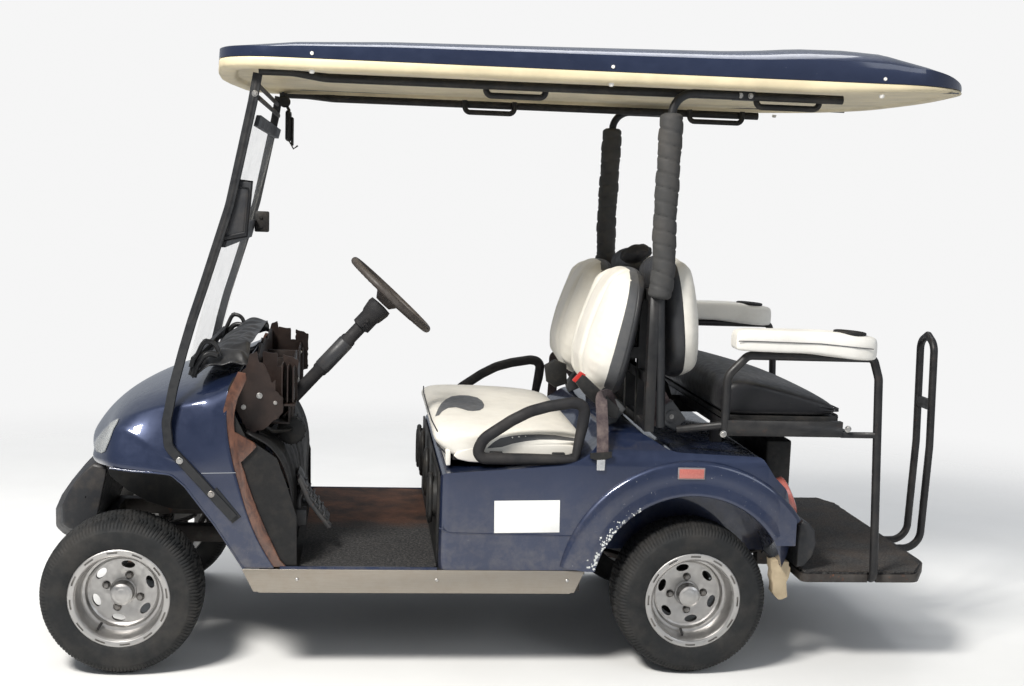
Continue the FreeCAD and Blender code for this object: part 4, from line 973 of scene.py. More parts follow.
lathe(bm, [(-9, 0), (-9, 15), (-5, 19), (5, 19), (9, 15), (9, 0)], (404, 300, 1690), (0, 1, 0), 24)
block(bm, (408, 426), (262, 340), (1560, 1662), 9, 3)
block(bm, (426, 434), (276, 328), (1546, 1640), 4, 3)
bar(bm, [(420, 276, 1562), (436, 272, 1535), (450, 270, 1546)], 3, 8)
piece("hanging_mirror", bm, dark_plastic)


# Front bumper

MIDDLE_OUTLINE = [(-92, 556), (-124, 558), (-180, 528), (-224, 472), (-256, 424), (-272, 386), (-272, 330),
                  (-246, 300), (-196, 289), (-140, 300)]
END_OUTLINE = [(-84, 548), (-127, 559), (-152, 536), (-175, 509), (-199, 470), (-218, 430), (-218, 370),
               (-198, 358), (-171, 351), (-118, 383)]


def facet_rows():
    """The wedge bumper's outline carried from the middle to its narrower end, and closed there."""
    rows = []
    for y, t, size in ((0, 0, 1), (90, 0.05, 1), (165, 0.30, 1), (215, 0.74, 1), (243, 1, 1),
                       (246, 1, 0.55), (247, 1, 0.03)):
        row = []
        for (x0, z0), (x1, z1) in zip(MIDDLE_OUTLINE, END_OUTLINE):
            x, z = x0 + (x1 - x0) * t, z0 + (z1 - z0) * t
            row.append((-150 + (x + 150) * size, y, 455 + (z - 455) * size))
        rows.append(row + row[:1])
    return rows


bm = bmesh.new()
bmesh.ops.remove_doubles(bm, verts=skin(bm, facet_rows()), dist=0.00002)
mirror_over(bm)
piece("front_bumper_skin", bm, bumper_plastic, instead_of=["bumpers"], sharp=24, bevel=7)
bm = bmesh.new()
both_plates(bm, [(1995, 396), (1995, 452), (2008, 466), (2030, 455), (2047, 434), (2053, 392), (2044, 356),
                 (2020, 324), (1996, 321)], 262, 521, round_by=7, steps=3)
bar(bm, [(2050, -519, 404), (2050, -262, 404)], 2.2, 8)
bar(bm, [(2050, 262, 404), (2050, 519, 404)], 2.2, 8)
piece("rear_bumper", bm, bumper_plastic, instead_of=["bumpers"])


# Canopy struts with their foam wraps

bm = bmesh.new()
for s in (LEFT, RIGHT):
    bar(bm,
        [(1559, s * 506, 742), (1541, s * 500, 1140, 900), (1551, s * 492, 1714, 62), (1742, s * 492, 1714)],
        12.7, 18)
    flat_run(bm, s, [(1730, 480, 1714), (1792, 480, 1714)], 26, 22)
piece("canopy_struts", bm, leg_black, instead_of=["canopy_frame"])
bm = bmesh.new()
for s in (LEFT, RIGHT):
    for x in (1748, 1778):
        bolt(bm, x, s * 493, 1714, 5.5, 7, (0, s, 0))
piece("strut_bolts", bm, zinc)


def foam_wrap(bm, side, points, radius, pitch):
    """Foam wound round a strut: a spiral seam every pitch, and a slightly uneven girth."""
    path = smooth_path(points, 10.0)
    fine = []
    for a, b in zip(path, path[1:]):
        count = max(1, round((b - a).length / 4.5))
        fine += [a + (b - a) * k / count for k in range(count)]
    fine.append(path[-1])
    rows, run = [], 0.0
    for k, p in enumerate(fine):
        ahead = (fine[min(k + 1, len(fine) - 1)] - fine[max(k - 1, 0)]).normalized()
        u = ahead.cross(Vector((0, 1, 0))).normalized()
        v = ahead.cross(u).normalized()
        run += (p - fine[k - 1]).length if k else 0
        end = min(k, len(fine) - 1 - k)
        swell = 1.0 - 0.28 * max(0, 1 - end / 2.5) ** 2
        ring = []
        for j in range(36):
            a = math.tau * j / 36
            phase = (run / pitch - side * j / 36) % 1.0
            dip = 3.4 * math.exp(-((min(phase, 1 - phase)) * pitch / 2.9) ** 2)
            lump = 1.1 * math.sin(run * 0.045 + a * 2) + 0.8 * math.sin(run * 0.11 + a * 3 + 1.3)
            q = p + (u * math.cos(a) + v * math.sin(a)) * ((radius + lump) * swell - dip)
            ring.append((q.x, q.y, q.z))
        rows.append(ring + ring[:1])
    grid = skin(bm, rows)
    bmesh.ops.remove_doubles(bm, verts=grid, dist=0.00002)
    close_ends(bm)


bm = bmesh.new()
for s in (LEFT, RIGHT):
    foam_wrap(bm, s, [(1537, s * 503, 1122), (1547, s * 500, 1215, 120), (1543, s * 497, 1330, 200),
                      (1550, s * 492, 1655)], 34.5, 41)
piece("foam_wraps", bm, foam_grey, instead_of=["strut_foam"], sharp=60)


# Seats

PLAIN = [(0, 0.84), (0.25, 1.0), (0.5, 1.06), (0.75, 1.0), (1, 0.86)]
FULL_LOW = [(0, 0.86), (0.14, 1.10), (0.28, 1.22), (0.5, 1.16), (0.72, 1.04), (0.9, 0.92), (1, 0.84)]


def back_outline(angle, half, height):
    """Distance from the middle of a back to its edge, in a direction seen from the front."""
    c, q = abs(math.cos(angle)), math.sin(angle)
    power = 2.7 if q > 0 else 2.5
    return 1 / ((c / half) ** power + (abs(q) / (height * 0.50)) ** power) ** (1 / power)


def back_form(bm, half, height, deep, sink, grooves, face_mat, side_mat, fullness, count=44, band=1):
    """One back as a closed pillow: local x outwards from its board, y across, z up from its foot."""
    marks = [math.sin(math.pi / 2 * (2 * k / count - 1)) * 0.45 + (2 * k / count - 1) * 0.55
             for k in range(count + 1)]
    front, rear = [], []
    for v in marks:
        row_f, row_r = [], []
        for u in marks:
            dx, dy = u * math.sqrt(1 - v * v / 2), v * math.sqrt(1 - u * u / 2)
            disc = min(1.0, math.hypot(dx, dy))
            ring = max(abs(u), abs(v))
            mix = min(1.0, max(0.0, (disc - 0.55) / 0.3))
            far = disc * (1 - mix) + ring * mix
            out = back_outline(math.atan2(dy, dx), half, height) * disc
            angle = math.atan2(dy, dx)
            y, h = out * math.cos(angle), height * 0.5 + out * math.sin(angle)
            puff = max(0.0, 1 - far ** 4.0) ** (1 / 2.2)
            share = h / height
            curve = along(fullness, share)
            dip = sum(g * (0.35 + 0.65 * share) * math.exp(-((y - gy) / 15.0) ** 2)
                      for gy, g in grooves) * puff
            pucker = 2.4 * math.sin(angle * 46) * max(0.0, 1 - abs(far - 0.84) / 0.14) if grooves else 0.0
            row_f.append((deep * puff * curve - dip + pucker, y, h))
            row_r.append((-sink * puff, y, h))
        front.append(row_f)
        rear.append(row_r)

    def grid(rows, mat):
        made = bmesh.ops.create_grid(bm, x_segments=count, y_segments=count, size=1)["verts"]
        for k, v in enumerate(made):
            v.co = Vector(rows[k // (count + 1)][k % (count + 1)]) / 1000
        for f in {f for v in made for f in v.link_faces}:
            f.material_index = mat
        return made
    a = grid(front, face_mat)
    for k, v in enumerate(a):
        r, c = k // (count + 1), k % (count + 1)
        if r < count and c < count and (min(r, c) < band or max(r, c) >= count - band):
            corner = {a[k], a[k + 1], a[k + count + 1], a[k + count + 2]}
            for f in v.link_faces:
                if set(f.verts) == corner:
                    f.material_index = side_mat
    b = grid(rear, side_mat)
    bmesh.ops.remove_doubles(bm, verts=a + b, dist=0.00002)


def placed_back(name, bm, outwards, lean, foot, finishes, nodes):
    """Copies a back to both seats, turned to face its way and leaning about its foot."""
    turn = Matrix.Rotation(math.radians(lean), 4, "Y")
    if outwards < 0:
        bmesh.ops.scale(bm, vec=(-1, 1, 1), verts=bm.verts[:])
    bmesh.ops.transform(bm, matrix=turn, verts=bm.verts[:])
    bmesh.ops.translate(bm, vec=at(foot[0], -262, foot[1]), verts=bm.verts[:])
    mirror_over(bm)
    ob = piece(name, bm, finishes, instead_of=nodes, subdivide=1)
    return ob


bm = bmesh.new()
back_form(bm, 229, 408, 92, 2, [(-92, 18), (92, 18)], 0, 1, FULL_LOW)
placed_back("front_backs", bm, -1, 11, (1418, 801), [cream_vinyl, grey_vinyl], ["seat_back_pads"])
bm = bmesh.new()
back_form(bm, 230, 408, 8, 30, [], 0, 0, PLAIN)
placed_back("front_shells", bm, -1, 11, (1420, 801), shell_grey, ["seat_back_shells"])
bm = bmesh.new()
back_form(bm, 227, 376, 66, 2, [(-92, 12), (92, 12)], 0, 0, PLAIN)
placed_back("rear_backs", bm, 1, -6.5, (1636, 868), cream_vinyl, ["seat_back_pads"])
bm = bmesh.new()
back_form(bm, 231, 380, 14, 58, [], 0, 0, PLAIN)
placed_back("rear_shells", bm, 1, -6.5, (1636, 866), shell_grey, ["seat_back_shells"])


def cushion_form(bm, profile, half, crown_by, end_drop):
    """A bench cushion: its side outline carried across, crowned in the middle and drawn in at both ends."""
    cx = sum(p[0] for p in profile) / len(profile)
    cz = sum(p[1] for p in profile) / len(profile)
    rows = []
    stations = [(-1, 0.05), (-1, 0.5), (-0.998, 0.80), (-0.985, 0.92), (-0.955, 0.985), (-0.88, 1.0),
                (-0.7, 1.0), (-0.5, 1.0), (-0.3, 1.0), (-0.1, 1.0)]
    stations += [(-y, size) for y, size in stations[::-1]]
    for y, size in stations:
        lift = crown_by * (1 - y * y) - end_drop * abs(y) ** 8
        row = []
        for x, z, soft in profile:
            row.append((cx + (x - cx) * (size if abs(y) > 0.8 else 1.0), y * half,
                        cz + (z - cz) * size + lift * soft))
        rows.append(row + row[:1])
    grid = skin(bm, rows)
    bmesh.ops.remove_doubles(bm, verts=grid, dist=0.0003)
    close_ends(bm)


SEAT = [(941, 640, 0), (930, 652, 0), (906, 668, 0), (890, 690, 0.2), (889, 711, 0.6), (902, 727, 0.9),
        (930, 735, 1), (990, 738, 1), (1080, 737, 1), (1180, 734, 1), (1262, 727, 1), (1306, 718, 1),
        (1333, 706, 0.5), (1338, 694, 0.2), (1322, 683, 0), (1296, 667, 0), (1250, 650, 0), (1150, 646, 0),
        (1040, 646, 0)]
bm = bmesh.new()
cushion_form(bm, SEAT, 500, 7, 24)
both_plates(bm, [(936, 612), (1286, 638), (1322, 672), (1322, 688), (930, 680)], 489.5, 500.5, round_by=5,
            steps=3)
plate(bm, [(927, 614), (941, 614), (941, 664), (924, 664)], -492, 492, "y", 4, 3)
ob = piece("seat_cushion", bm, cream_vinyl, body="lid", instead_of=["front_cushion"],
           subdivide=2)

BENCH = [(1752, 780, 0), (1744, 812, 0), (1743, 850, 0.4), (1756, 878, 0.9), (1795, 890, 1), (1850, 884, 1),
         (1920, 868, 1), (1990, 850, 1), (2050, 834, 1), (2086, 822, 0.8), (2106, 804, 0.3), (2108, 788, 0),
         (2090, 779, 0), (2000, 778.4, 0), (1900, 778.4, 0), (1800, 778.4, 0)]
bm = bmesh.new()
cushion_form(bm, BENCH, 484, 10, 8)
ob = piece("bench_pad", bm, black_vinyl, body="flip_seat", instead_of=["bench_cushion"],
           subdivide=2)
bm = bmesh.new()
for front_z, corner_y, rear_z in ((846, -481.6, 802), (810, -481.2, 796)):
    bar(bm, [(1750, -478, front_z, 20), (2106, corner_y, rear_z, 10), (2110, -470, rear_z, 10),
             (2110, 470, rear_z)],
        2.6, 8)
piece("bench_piping", bm, black_vinyl, body="flip_seat")


# Padded loops beside the hips

LOOP = [(1156, 645, 30), (1034, 645, 20), (1014, 660, 22), (1030, 702, 60), (1112, 758, 100),
        (1165, 786, 120), (1220, 802, 90), (1290, 814, 40), (1328, 808, 26), (1322, 752, 120),
        (1302, 645, 16)]
bm = bmesh.new()
for s in (LEFT, RIGHT):
    bar(bm, [(x, s * 531, z, bend) for x, z, bend in LOOP], 17, 20, closed=True)
bmesh.ops.recalc_face_normals(bm, faces=bm.faces[:])
piece("hip_loops", bm, foam_black, instead_of=["hip_restraint_left", "hip_restraint_right"])
bm = bmesh.new()
for x in (1052, 1236):
    both_blocks(bm, (x, x + 38), 512, 528, (630, 664), 3)
piece("loop_feet", bm, black_steel)


# Armrests

ARM_Y = 548.0               # middle of an armrest, from the middle of the cart


def arm_form(bm, side):
    """A moulded armrest seen from above as a tapering pad with a round cup end."""
    ring = [(1756, 20), (1752, 34), (1766, 43), (1830, 44), (1920, 45), (2000, 47), (2060, 52), (2110, 54),
            (2152, 48), (2180, 32), (2188, 0)]
    ring = ring + [(x, -w) for x, w in ring[-2::-1]] + [(1753, -0.0)]
    low_line = [(1752, 984), (1800, 980), (2000, 979.5), (2060, 970), (2120, 962), (2188, 962)]
    top_line = [(1752, 1040), (1790, 1046), (2030, 1046), (2100, 1040), (2188, 1028)]
    rows = []
    for inset_by, level in ((40, 0.0), (16, 0.0), (5, 0.03), (1, 0.12), (0, 0.3), (0, 0.62), (1.5, 0.80),
                            (5, 0.92), (12, 0.98), (26, 1.0), (40, 1.0)):
        row = []
        for x, w in ring:
            f = max(0.05, 1 - inset_by / 54)
            px, pw = 1975 + (x - 1975) * (1 - inset_by / 240), w * f
            lo, hi = along(low_line, px), along(top_line, px)
            row.append((px, side * (ARM_Y + pw), lo + (hi - lo) * level))
        rows.append(row + row[:1])
    grid = skin(bm, rows)
    bmesh.ops.remove_doubles(bm, verts=grid, dist=0.0002)


bm = bmesh.new()
for s in (LEFT, RIGHT):
    arm_form(bm, s)
close_ends(bm)
ob = piece("arm_pads", bm, white_vinyl, instead_of=["armrests"], subdivide=2)
bm = bmesh.new()
for s in (LEFT, RIGHT):
    lathe(bm, [(-58, 0), (-58, 34), (-2, 38), (4, 39), (6.5, 43), (5, 47.5), (0, 48.5), (-3, 47)],
          (2102, s * ARM_Y, 1039), (0.06, 0, 1), 40)
piece("cup_rings", bm, dark_plastic)
bm = bmesh.new()
for s in (LEFT, RIGHT):
    bar(bm, [(1757, s * 592, 1012, 10), (1840, s * 594.5, 1012), (2000, s * 597, 1010),
             (2110, s * 603.0, 1002, 40), (2160, s * 597, 998)], 1.6, 8)
piece("arm_seams", bm, grey_vinyl)


# Panels that lie close on another piece's surface

def laid_on(bm, target, outline, towards, lift=0.8, dome=0.0, eye=False):
    """Lays a thin outlined panel on a finished piece: every point is dropped on to it and lifted clear."""
    tree = BVHTree.FromObject(target, bpy.context.evaluated_depsgraph_get())
    way = Vector(towards).normalized()
    made = bmesh.new()
    corners = [made.verts.new(at(*p)) for p in outline]
    made.faces.new(corners)
    bmesh.ops.triangulate(made, faces=made.faces[:])
    for _ in range(4):
        long_edges = [e for e in made.edges if e.calc_length() > 0.012]
        bmesh.ops.subdivide_edges(made, edges=long_edges, cuts=1, use_grid_fill=False)
        bmesh.ops.triangulate(made, faces=[f for f in made.faces if len(f.verts) > 4])
    rim = {v for e in made.edges if e.is_boundary for v in e.verts}
    for v in made.verts:
        way = (v.co - Vector(towards)).normalized() if eye else way
        hit, normal, _, _ = tree.ray_cast(v.co - way * 0.25, way)
        if hit is None:
            hit, normal, _, _ = tree.find_nearest(v.co)
        if normal.dot(way) > 0:
            normal = -normal
        v.co = hit + normal * (lift + (0 if v in rim else dome)) / 1000
    mesh = bpy.data.meshes.new("panel")
    made.to_mesh(mesh)
    made.free()
    bm.from_mesh(mesh)
    bpy.data.meshes.remove(mesh)


cowl_ob = bpy.data.objects["cowl_skin"]
cushion_ob = bpy.data.objects["seat_cushion"]
LAMP_EDGE = [(-14, -450, 731), (-20, -450, 716), (-29, -450, 700), (-42, -450, 664), (-54, -450, 634),
             (-64, -450, 629),
             (-78, -450, 634), (-86, -450, 654), (-76, -450, 672), (-54, -450, 700), (-34, -450, 720)]
LAMP_EYE = (674.4, -4535.3, 1402.7)
bm, bm2 = bmesh.new(), bmesh.new()
for s in (LEFT, RIGHT):
    edge_line = [(x, -s * y, z) for x, y, z in LAMP_EDGE]
    eye = at(LAMP_EYE[0], -s * LAMP_EYE[1], LAMP_EYE[2])
    laid_on(bm, cowl_ob, edge_line, eye, 1.6, eye=True)
    laid_on(bm2, cowl_ob, edge_line, eye, 4.0, dome=5.0, eye=True)
piece("lamp_bowls", bm, silver, instead_of=["headlights"], sharp=60)
piece("lamp_lenses", bm2, lens, subdivide=1)

bm = bmesh.new()
laid_on(bm, cushion_ob, [(x, y, 738) for x, y in [
    (903, -291), (918, -180), (932, -97), (952, -20), (974, 40), (1000, 62), (1030, 62), (1056, 20),
    (1066, -50), (1066, -137), (1058, -200), (1043, -245), (1020, -262), (1004, -255), (990, -225),
    (972, -190), (948, -200), (926, -250), (914, -300)]], (0, 0, -1), 0.7)
for s in (LEFT, RIGHT):
    laid_on(bm, cushion_ob, [(x, s * y, z) for x, y, z in [
        (1046, 496, 668), (1062, 494, 684), (1084, 490, 697), (1120, 486, 704), (1160, 484, 708),
        (1205, 483, 710), (1250, 484, 709), (1300, 488, 704), (1330, 490, 698), (1330, 492, 690),
        (1290, 491, 694), (1247, 490, 696), (1200, 491, 695), (1158, 492, 690), (1120, 493, 682),
        (1090, 494, 672)]], (0, -s, -0.35), 0.7)
piece("cushion_swooshes", bm, grey_vinyl, body="lid", sharp=60)
bm = bmesh.new()
bar(bm, [(899, -470, 716), (892, -300, 718), (890, 0, 720), (892, 300, 718), (899, 470, 716)], 2.2, 8)
bar(bm, [(936, -489, 640, 6), (928, -488, 650), (912, -484, 664, 10), (903, -470, 671), (902, 470, 671, 10),
         (912, 484, 664), (936, 489, 640)], 2.6, 8)
piece("cushion_piping", bm, black_vinyl, body="lid")
bm = bmesh.new()
for s in (LEFT, RIGHT):
    bar(bm, [(935, s * 495, 690, 20), (1120, s * 498, 691, 60), (1318, s * 493, 690)], 1.7, 8)
piece("cushion_seams", bm, cream_vinyl, body="lid")


# Dash and footwell

def ragged(points, rough=2.2, step=7.0, seed=3):
    """Breaks a straight outline into short uneven chips."""
    rng = random.Random(seed)
    out = []
    for (a, b), (c, d) in zip(points, points[1:] + points[:1]):
        count = max(1, round(math.hypot(c - a, d - b) / step))
        for k in range(count):
            t = k / count
            jit = rough if k else 0
            out.append((a + (c - a) * t + rng.uniform(-jit, jit), b + (d - b) * t + rng.uniform(-jit, jit)))
    return out


bm = bmesh.new()
both_plates(bm, ragged([(356, 700), (398, 712), (452, 762), (452, 806), (430, 826), (431, 856), (420, 848),
                        (398, 900), (384, 906), (376, 938), (357, 930), (346, 890), (326, 866), (318, 800),
                        (322, 762)], 2.0, 9), 476, 482)
both_plates(bm, ragged([(380, 760), (488, 782), (490, 905), (446, 920), (446, 884), (430, 884), (428, 924),
                        (388, 928)], 2.0, 9), 380, 386)
for x in (446, 462, 478):
    both_blocks(bm, (x, x + 4), 386, 470, (790, 900 - (x - 446) * 0.3), 1)
both_blocks(bm, (440, 488), 392, 476, (780, 786), 1)
both_blocks(bm, (360, 440), 392, 476, (742, 748), 1)
plate(bm, ragged([(-476, 700), (476, 700), (476, 905), (360, 921), (250, 898), (130, 915), (20, 902),
                  (-90, 918), (-200, 896), (-330, 916), (-476, 926)], 3.0, 14, 5), 356, 362, "x")
plate(bm, ragged([(-380, 716), (380, 716), (380, 880), (250, 868), (236, 824), (60, 824), (44, 886),
                  (-90, 874), (-196, 884), (-380, 870)], 3.0, 14, 8), 462, 467, "x")
block(bm, (362, 466), (-380, 380), (712, 718), 1)
block(bm, (362, 466), (-60, -54), (718, 872), 1)
block(bm, (362, 466), (210, 216), (718, 866), 1)
for y in (-330, -290, -250, 300, 340):
    block(bm, (463, 476), (y, y + 5), (724, 862), 1)
piece("dash_plates", bm, dash_brown, instead_of=["dash_panel"], sharp=30)
bm = bmesh.new()
for s in (LEFT, RIGHT):
    bolt(bm, 385, s * 482, 810, 6, 6, (0, s, 0))
    bolt(bm, 340, s * 482, 776, 5, 5, (0, s, 0))
    bolt(bm, 430, s * 482, 790, 4, 4, (0, s, 0))
for y, z in ((-300, 862), (-110, 858), (120, 780), (300, 850)):
    bolt(bm, 467, y, z, 5, 5, (1, 0, 0))
piece("dash_bolts", bm, zinc)
bm = bmesh.new()
lathe(bm, [(-40, 0), (-40, 30), (-34, 40), (-8, 44), (8, 44), (34, 40), (40, 30), (40, 0)], (470, -300, 683),
      (0, 1, 0), 40)
for k in range(16):
    a = math.tau * k / 16
    bar(bm, [(470 + r * math.cos(a), y, 683 + r * math.sin(a)) for r, y in ((41, -334), (44, -266))], 3, 6)
bar(bm, [(470, -262, 683), (440, -200, 700, 40), (380, -180, 720)], 13, 14)
bar(bm, [(372, -470, 740), (420, -440, 700, 30), (452, -380, 690, 20), (470, -340, 690)], 6, 10)
bar(bm, [(380, -460, 700), (412, -400, 672, 30), (400, -300, 660, 40), (380, -100, 690, 60), (376, 200, 700)],
    5, 10)
piece("blower", bm, dark_plastic)


def cloth_top():
    """The loose black cover over the dash top: folds run down from the middle to the cowl."""
    bm = bmesh.new()
    rows = []
    for k in range(49):
        t = k / 48
        x = 200 + 150 * t
        row = []
        for j in range(121):
            y = -470 + 940 * j / 120
            a = abs(y) / 470
            base = 880 + 62 * math.sin(math.pi * min(1, t * 0.62)) + 10 * t
            drop = 52 * max(0.0, a - 0.80) / 0.20
            fold = 5.5 * math.sin(y * 0.055 + 6 * t + math.sin(y * 0.013) * 3) * (0.3 + a)
            fold += 3.5 * math.sin(y * 0.021 - 9 * t) + 2.5 * math.sin(y * 0.13 + 17 * t) * a
            edge_fade = min(1.0, 5 * t, 8 * (1 - t) + 0.2)
            row.append((x + 6 * math.sin(y * 0.03) * (1 - t), y,
                        base - drop * (0.5 + 0.5 * t) + fold * edge_fade))
        rows.append(row)
    skin(bm, rows)
    return bm


cover = vinyl("cover_black", (0.012, 0.012, 0.013), 0.34, 0.35, 0.5, (0.09, 0.085, 0.08))
piece("dash_cover", cloth_top(), cover, instead_of=["dash_top"], thick=3, subdivide=1)
bm = bmesh.new()
for s in (LEFT, RIGHT):
    bar(bm, [(186, s * 452, 862), (198, s * 450, 905, 40), (222, s * 446, 958, 30), (252, s * 442, 970, 30),
             (268, s * 440, 918)], 7, 12)
    bar(bm, [(196, s * 462, 858), (206, s * 460, 892, 40), (232, s * 456, 934, 30), (262, s * 450, 920)], 9,
        12)
piece("dash_hoops", bm, cover)

bm = bmesh.new()
both_plates(bm, [(352, 700), (322, 762), (318, 800), (326, 866), (318, 872), (302, 840), (296, 790),
                 (298, 700), (318, 626), (350, 540), (384, 462), (452, 326), (500, 326), (498, 470),
                 (470, 560), (440, 640)],
            543, 549)
# Black plastic darker and less dusty than dark_plastic: painted shade, standing in for the shadow over the
# footwell.
black_darkened_as_shade = grained_plastic("footwell_black_painted_shade", (0.0045, 0.0045, 0.005), 0.6, 420.0, 0.12)
piece("footwell_cheeks", bm, black_darkened_as_shade)
wall_line = [(352, 712), (372, 700), (404, 686), (436, 660), (462, 616), (480, 560), (486, 500), (484, 440),
             (482, 380), (486, 326)]
bm = bmesh.new()
skin(bm, [[(x + 3 * math.sin(y * 0.05) * (z < 680), y, z) for x, z in wall_line]
          for y in [-542 + 1084 * k / 44 for k in range(45)]])
for v in bm.verts:
    y = v.co.y * 1000
    ridge = max(0.0, math.cos(y * math.tau / 180.0)) ** 6
    v.co.x += 0.006 * ridge
piece("footwell_skin", bm, black_darkened_as_shade, instead_of=["footwell_wall"], thick=5, subdivide=1)

# Steering column and wheel
bm = bmesh.new()
foot, hub = at(470, -280, 776), at(750, -280, 1085)
way = (hub - foot).normalized()


def back_to_mm(p):
    return (p.x * 1000 + MIDDLE, p.y * 1000, p.z * 1000)


def on_column(t):
    return back_to_mm(foot + way * t / 1000)


lathe(bm, [(-170, 0), (-170, 16), (-40, 16), (-30, 20), (112, 20), (118, 23.5), (246, 23.5), (252, 20),
           (296, 20), (300, 29), (338, 29), (346, 33), (376, 38), (388, 36), (390, 18), (390, 0)],
      on_column(0), tuple(way), 40)
lathe(bm, [(128, 23.6), (130, 25), (234, 25), (236, 23.6)], on_column(0), tuple(way), 40, 1)
for t in (308, 326):
    bolt(bm, *[a + b for a, b in zip(on_column(t), (0, -29, 0))], 5, 9, (0, -1, 0))
side = way.cross(Vector((0, 1, 0)))
lathe(bm, [(-16, 0), (-16, 13), (14, 13), (20, 9), (20, 0)], on_column(318), tuple(side), 20)
piece("column_tube", bm, [foam_black, shell_grey], instead_of=["steering_column"])

axis = Vector((0.67148, 0, 0.74102))
across = Vector((0, 1, 0))
up = axis.cross(across).normalized()


def on_wheel(r, a, lift):
    return back_to_mm(hub + (across * math.cos(a) + up * math.sin(a)) * r / 1000 + axis * lift / 1000)


bm = bmesh.new()
rows = []
for k in range(96):
    a = math.tau * k / 96
    row = []
    for j in range(16):
        b = math.tau * j / 16
        notch = 1.2 * max(0.0, math.cos(48 * a)) ** 4 * (math.cos(b) < 0)
        r = 148 + (11.5 - notch) * math.cos(b)
        row.append(on_wheel(r, a, 15 + (11.5 - notch) * math.sin(b)))
    rows.append(row + row[:1])
skin(bm, rows, wrap=True)
for a0 in (0.15, math.pi - 0.15, -math.pi / 2):
    for spread in (-0.12, 0.12):
        bar(bm, [on_wheel(28, a0 + spread * 3, 2), on_wheel(90, a0 + spread * 1.2, 4),
                 on_wheel(140, a0 + spread, 12)], 8.5, 12, flat=0.7)
lathe(bm, [(-22, 0), (-22, 26), (-6, 38), (6, 46), (14, 44), (19, 34), (21, 0)],
      on_wheel(0, 0, 0), tuple(axis), 40)
bmesh.ops.remove_doubles(bm, verts=bm.verts[:], dist=0.00002)
grip = worn_black("wheel_grip_worn", (0.040, 0.032, 0.028), 0.5, 0.8)
piece("wheel_ring", bm, grip, body="hand_wheel", instead_of=["steering_wheel"], sharp=50)

# Pedals
bm = bmesh.new()
for y0, y1, low_x in ((-372, -316, 548), (-288, -180, 540)):
    plate(bm, [(low_x + 36, 392), (low_x + 46, 396), (low_x - 16, 480), (low_x - 40, 536), (low_x - 50, 548),
               (low_x - 56, 540), (low_x - 30, 476)], y0, y1, "y", 3)
    for k in range(6):
        x, z = low_x + 28 - 13 * k, 412 + 20 * k
        bar(bm, [(x + 8, y0 + 5, z), (x + 8, y1 - 5, z)], 3, 8)
    ym = (y0 + y1) / 2
    bar(bm, [(low_x - 30, ym, 520), (low_x - 52, ym, 480, 30), (498, ym, 430)], 9, 12)
    block(bm, (488, 520), (ym - 26, ym + 26), (400, 450), 4)
piece("pedal_pads", bm, worn_black("pedal_worn", (0.05, 0.05, 0.052), 0.45, 0.7, 0.7), instead_of=["pedals"],
      bevel=0.8)


# Paint knocked off along the near arch
bm = bmesh.new()
rng = random.Random(11)
for k in range(110):
    a = math.radians(rng.uniform(122, 166))
    r = 297 + abs(rng.gauss(0, 9))
    x, z = ARCH[0] + r * math.cos(a), ARCH[1] + r * math.sin(a)
    size = rng.uniform(0.8, 3.4) * (1.3 if a > math.radians(140) else 0.8)
    loop = [(x + size * rng.uniform(0.5, 1.2) * math.cos(t), z + size * rng.uniform(0.5, 1.3) * math.sin(t))
            for t in [math.tau * j / 7 for j in range(7)]]
    out = -560 - along([(294, 4), (298, 14.6), (312, 14.4), (326, 12)], r)
    plate(bm, loop, out - 0.5, out, "y")
piece("arch_chips", bm, grained_plastic("bare_filler", (0.62, 0.64, 0.63), 0.6, 900.0, 0.2))

# Wood-grain trim between the cowl and the footwell

bm = bmesh.new()
outer = [(330, 888), (300, 822), (290, 780), (291, 730), (299, 664), (320, 578), (340, 505), (366, 433),
         (394, 368), (424, 324)]
inner = [(472, 322), (453, 344), (418, 418), (389, 485), (366, 549), (340, 628), (352, 640), (384, 674),
         (376, 686), (322, 716), (320, 740), (321, 770), (330, 812), (354, 866), (352, 884)]
both_plates(bm, ragged(outer + inner, 0.8, 26, 4), 547, 557.5, round_by=1.5)
piece("wood_trims", bm, wood, instead_of=["dash_trims"], sharp=30)

# Dark walls inside the front wheel wells, and the painted sill edge beside the floor
bm = bmesh.new()
both_plates(bm, [(-92, 588), (-70, 530), (-20, 486), (40, 452), (110, 430), (330, 424), (352, 520),
                 (330, 600), (-60, 606)], 284, 290, round_by=3)
piece("well_walls", bm, dark_plastic)
bm = bmesh.new()
both_blocks(bm, (452, 906), 553, 561, (308, 326), 2.5)
piece("sill_edges", bm, navy)

# Rivets, bolts and small fittings
sill_y = abs(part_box("rocker_trims")[0][1]) * 1000
arm_side_y = abs(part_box("bench_side_left")[0][1]) * 1000
panel_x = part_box("kick_panel")[0][0] * 1000 + MIDDLE - 3
bm = bmesh.new()
for s in (LEFT, RIGHT):
    for x in (502, 905, 1289):
        rivet(bm, x, s * sill_y, 289, 5.5, (0, s, 0))
piece("sill_rivets", bm, zinc)
bm = bmesh.new()
for s in (LEFT, RIGHT):
    for x, z in ((1735, 734), (2112, 755)):
        bolt(bm, x, s * arm_side_y, z, 7, 5, (0, s, 0))
piece("bench_bolts", bm, zinc)
bm = bmesh.new()
for s in (LEFT, RIGHT):
    for y, z in ((432, 506), (160, 530)):
        for ring, deep in ((74, 0), (60, 5)):
            loop = [(panel_x - deep, s * y + ring * 0.62 * math.cos(a), z + ring * math.sin(a), 30)
                    for a in [math.tau * k / 10 for k in range(10)]]
            bar(bm, loop, 8 - deep * 0.5, 10, closed=True)
piece("speaker_rings", bm, dark_plastic)

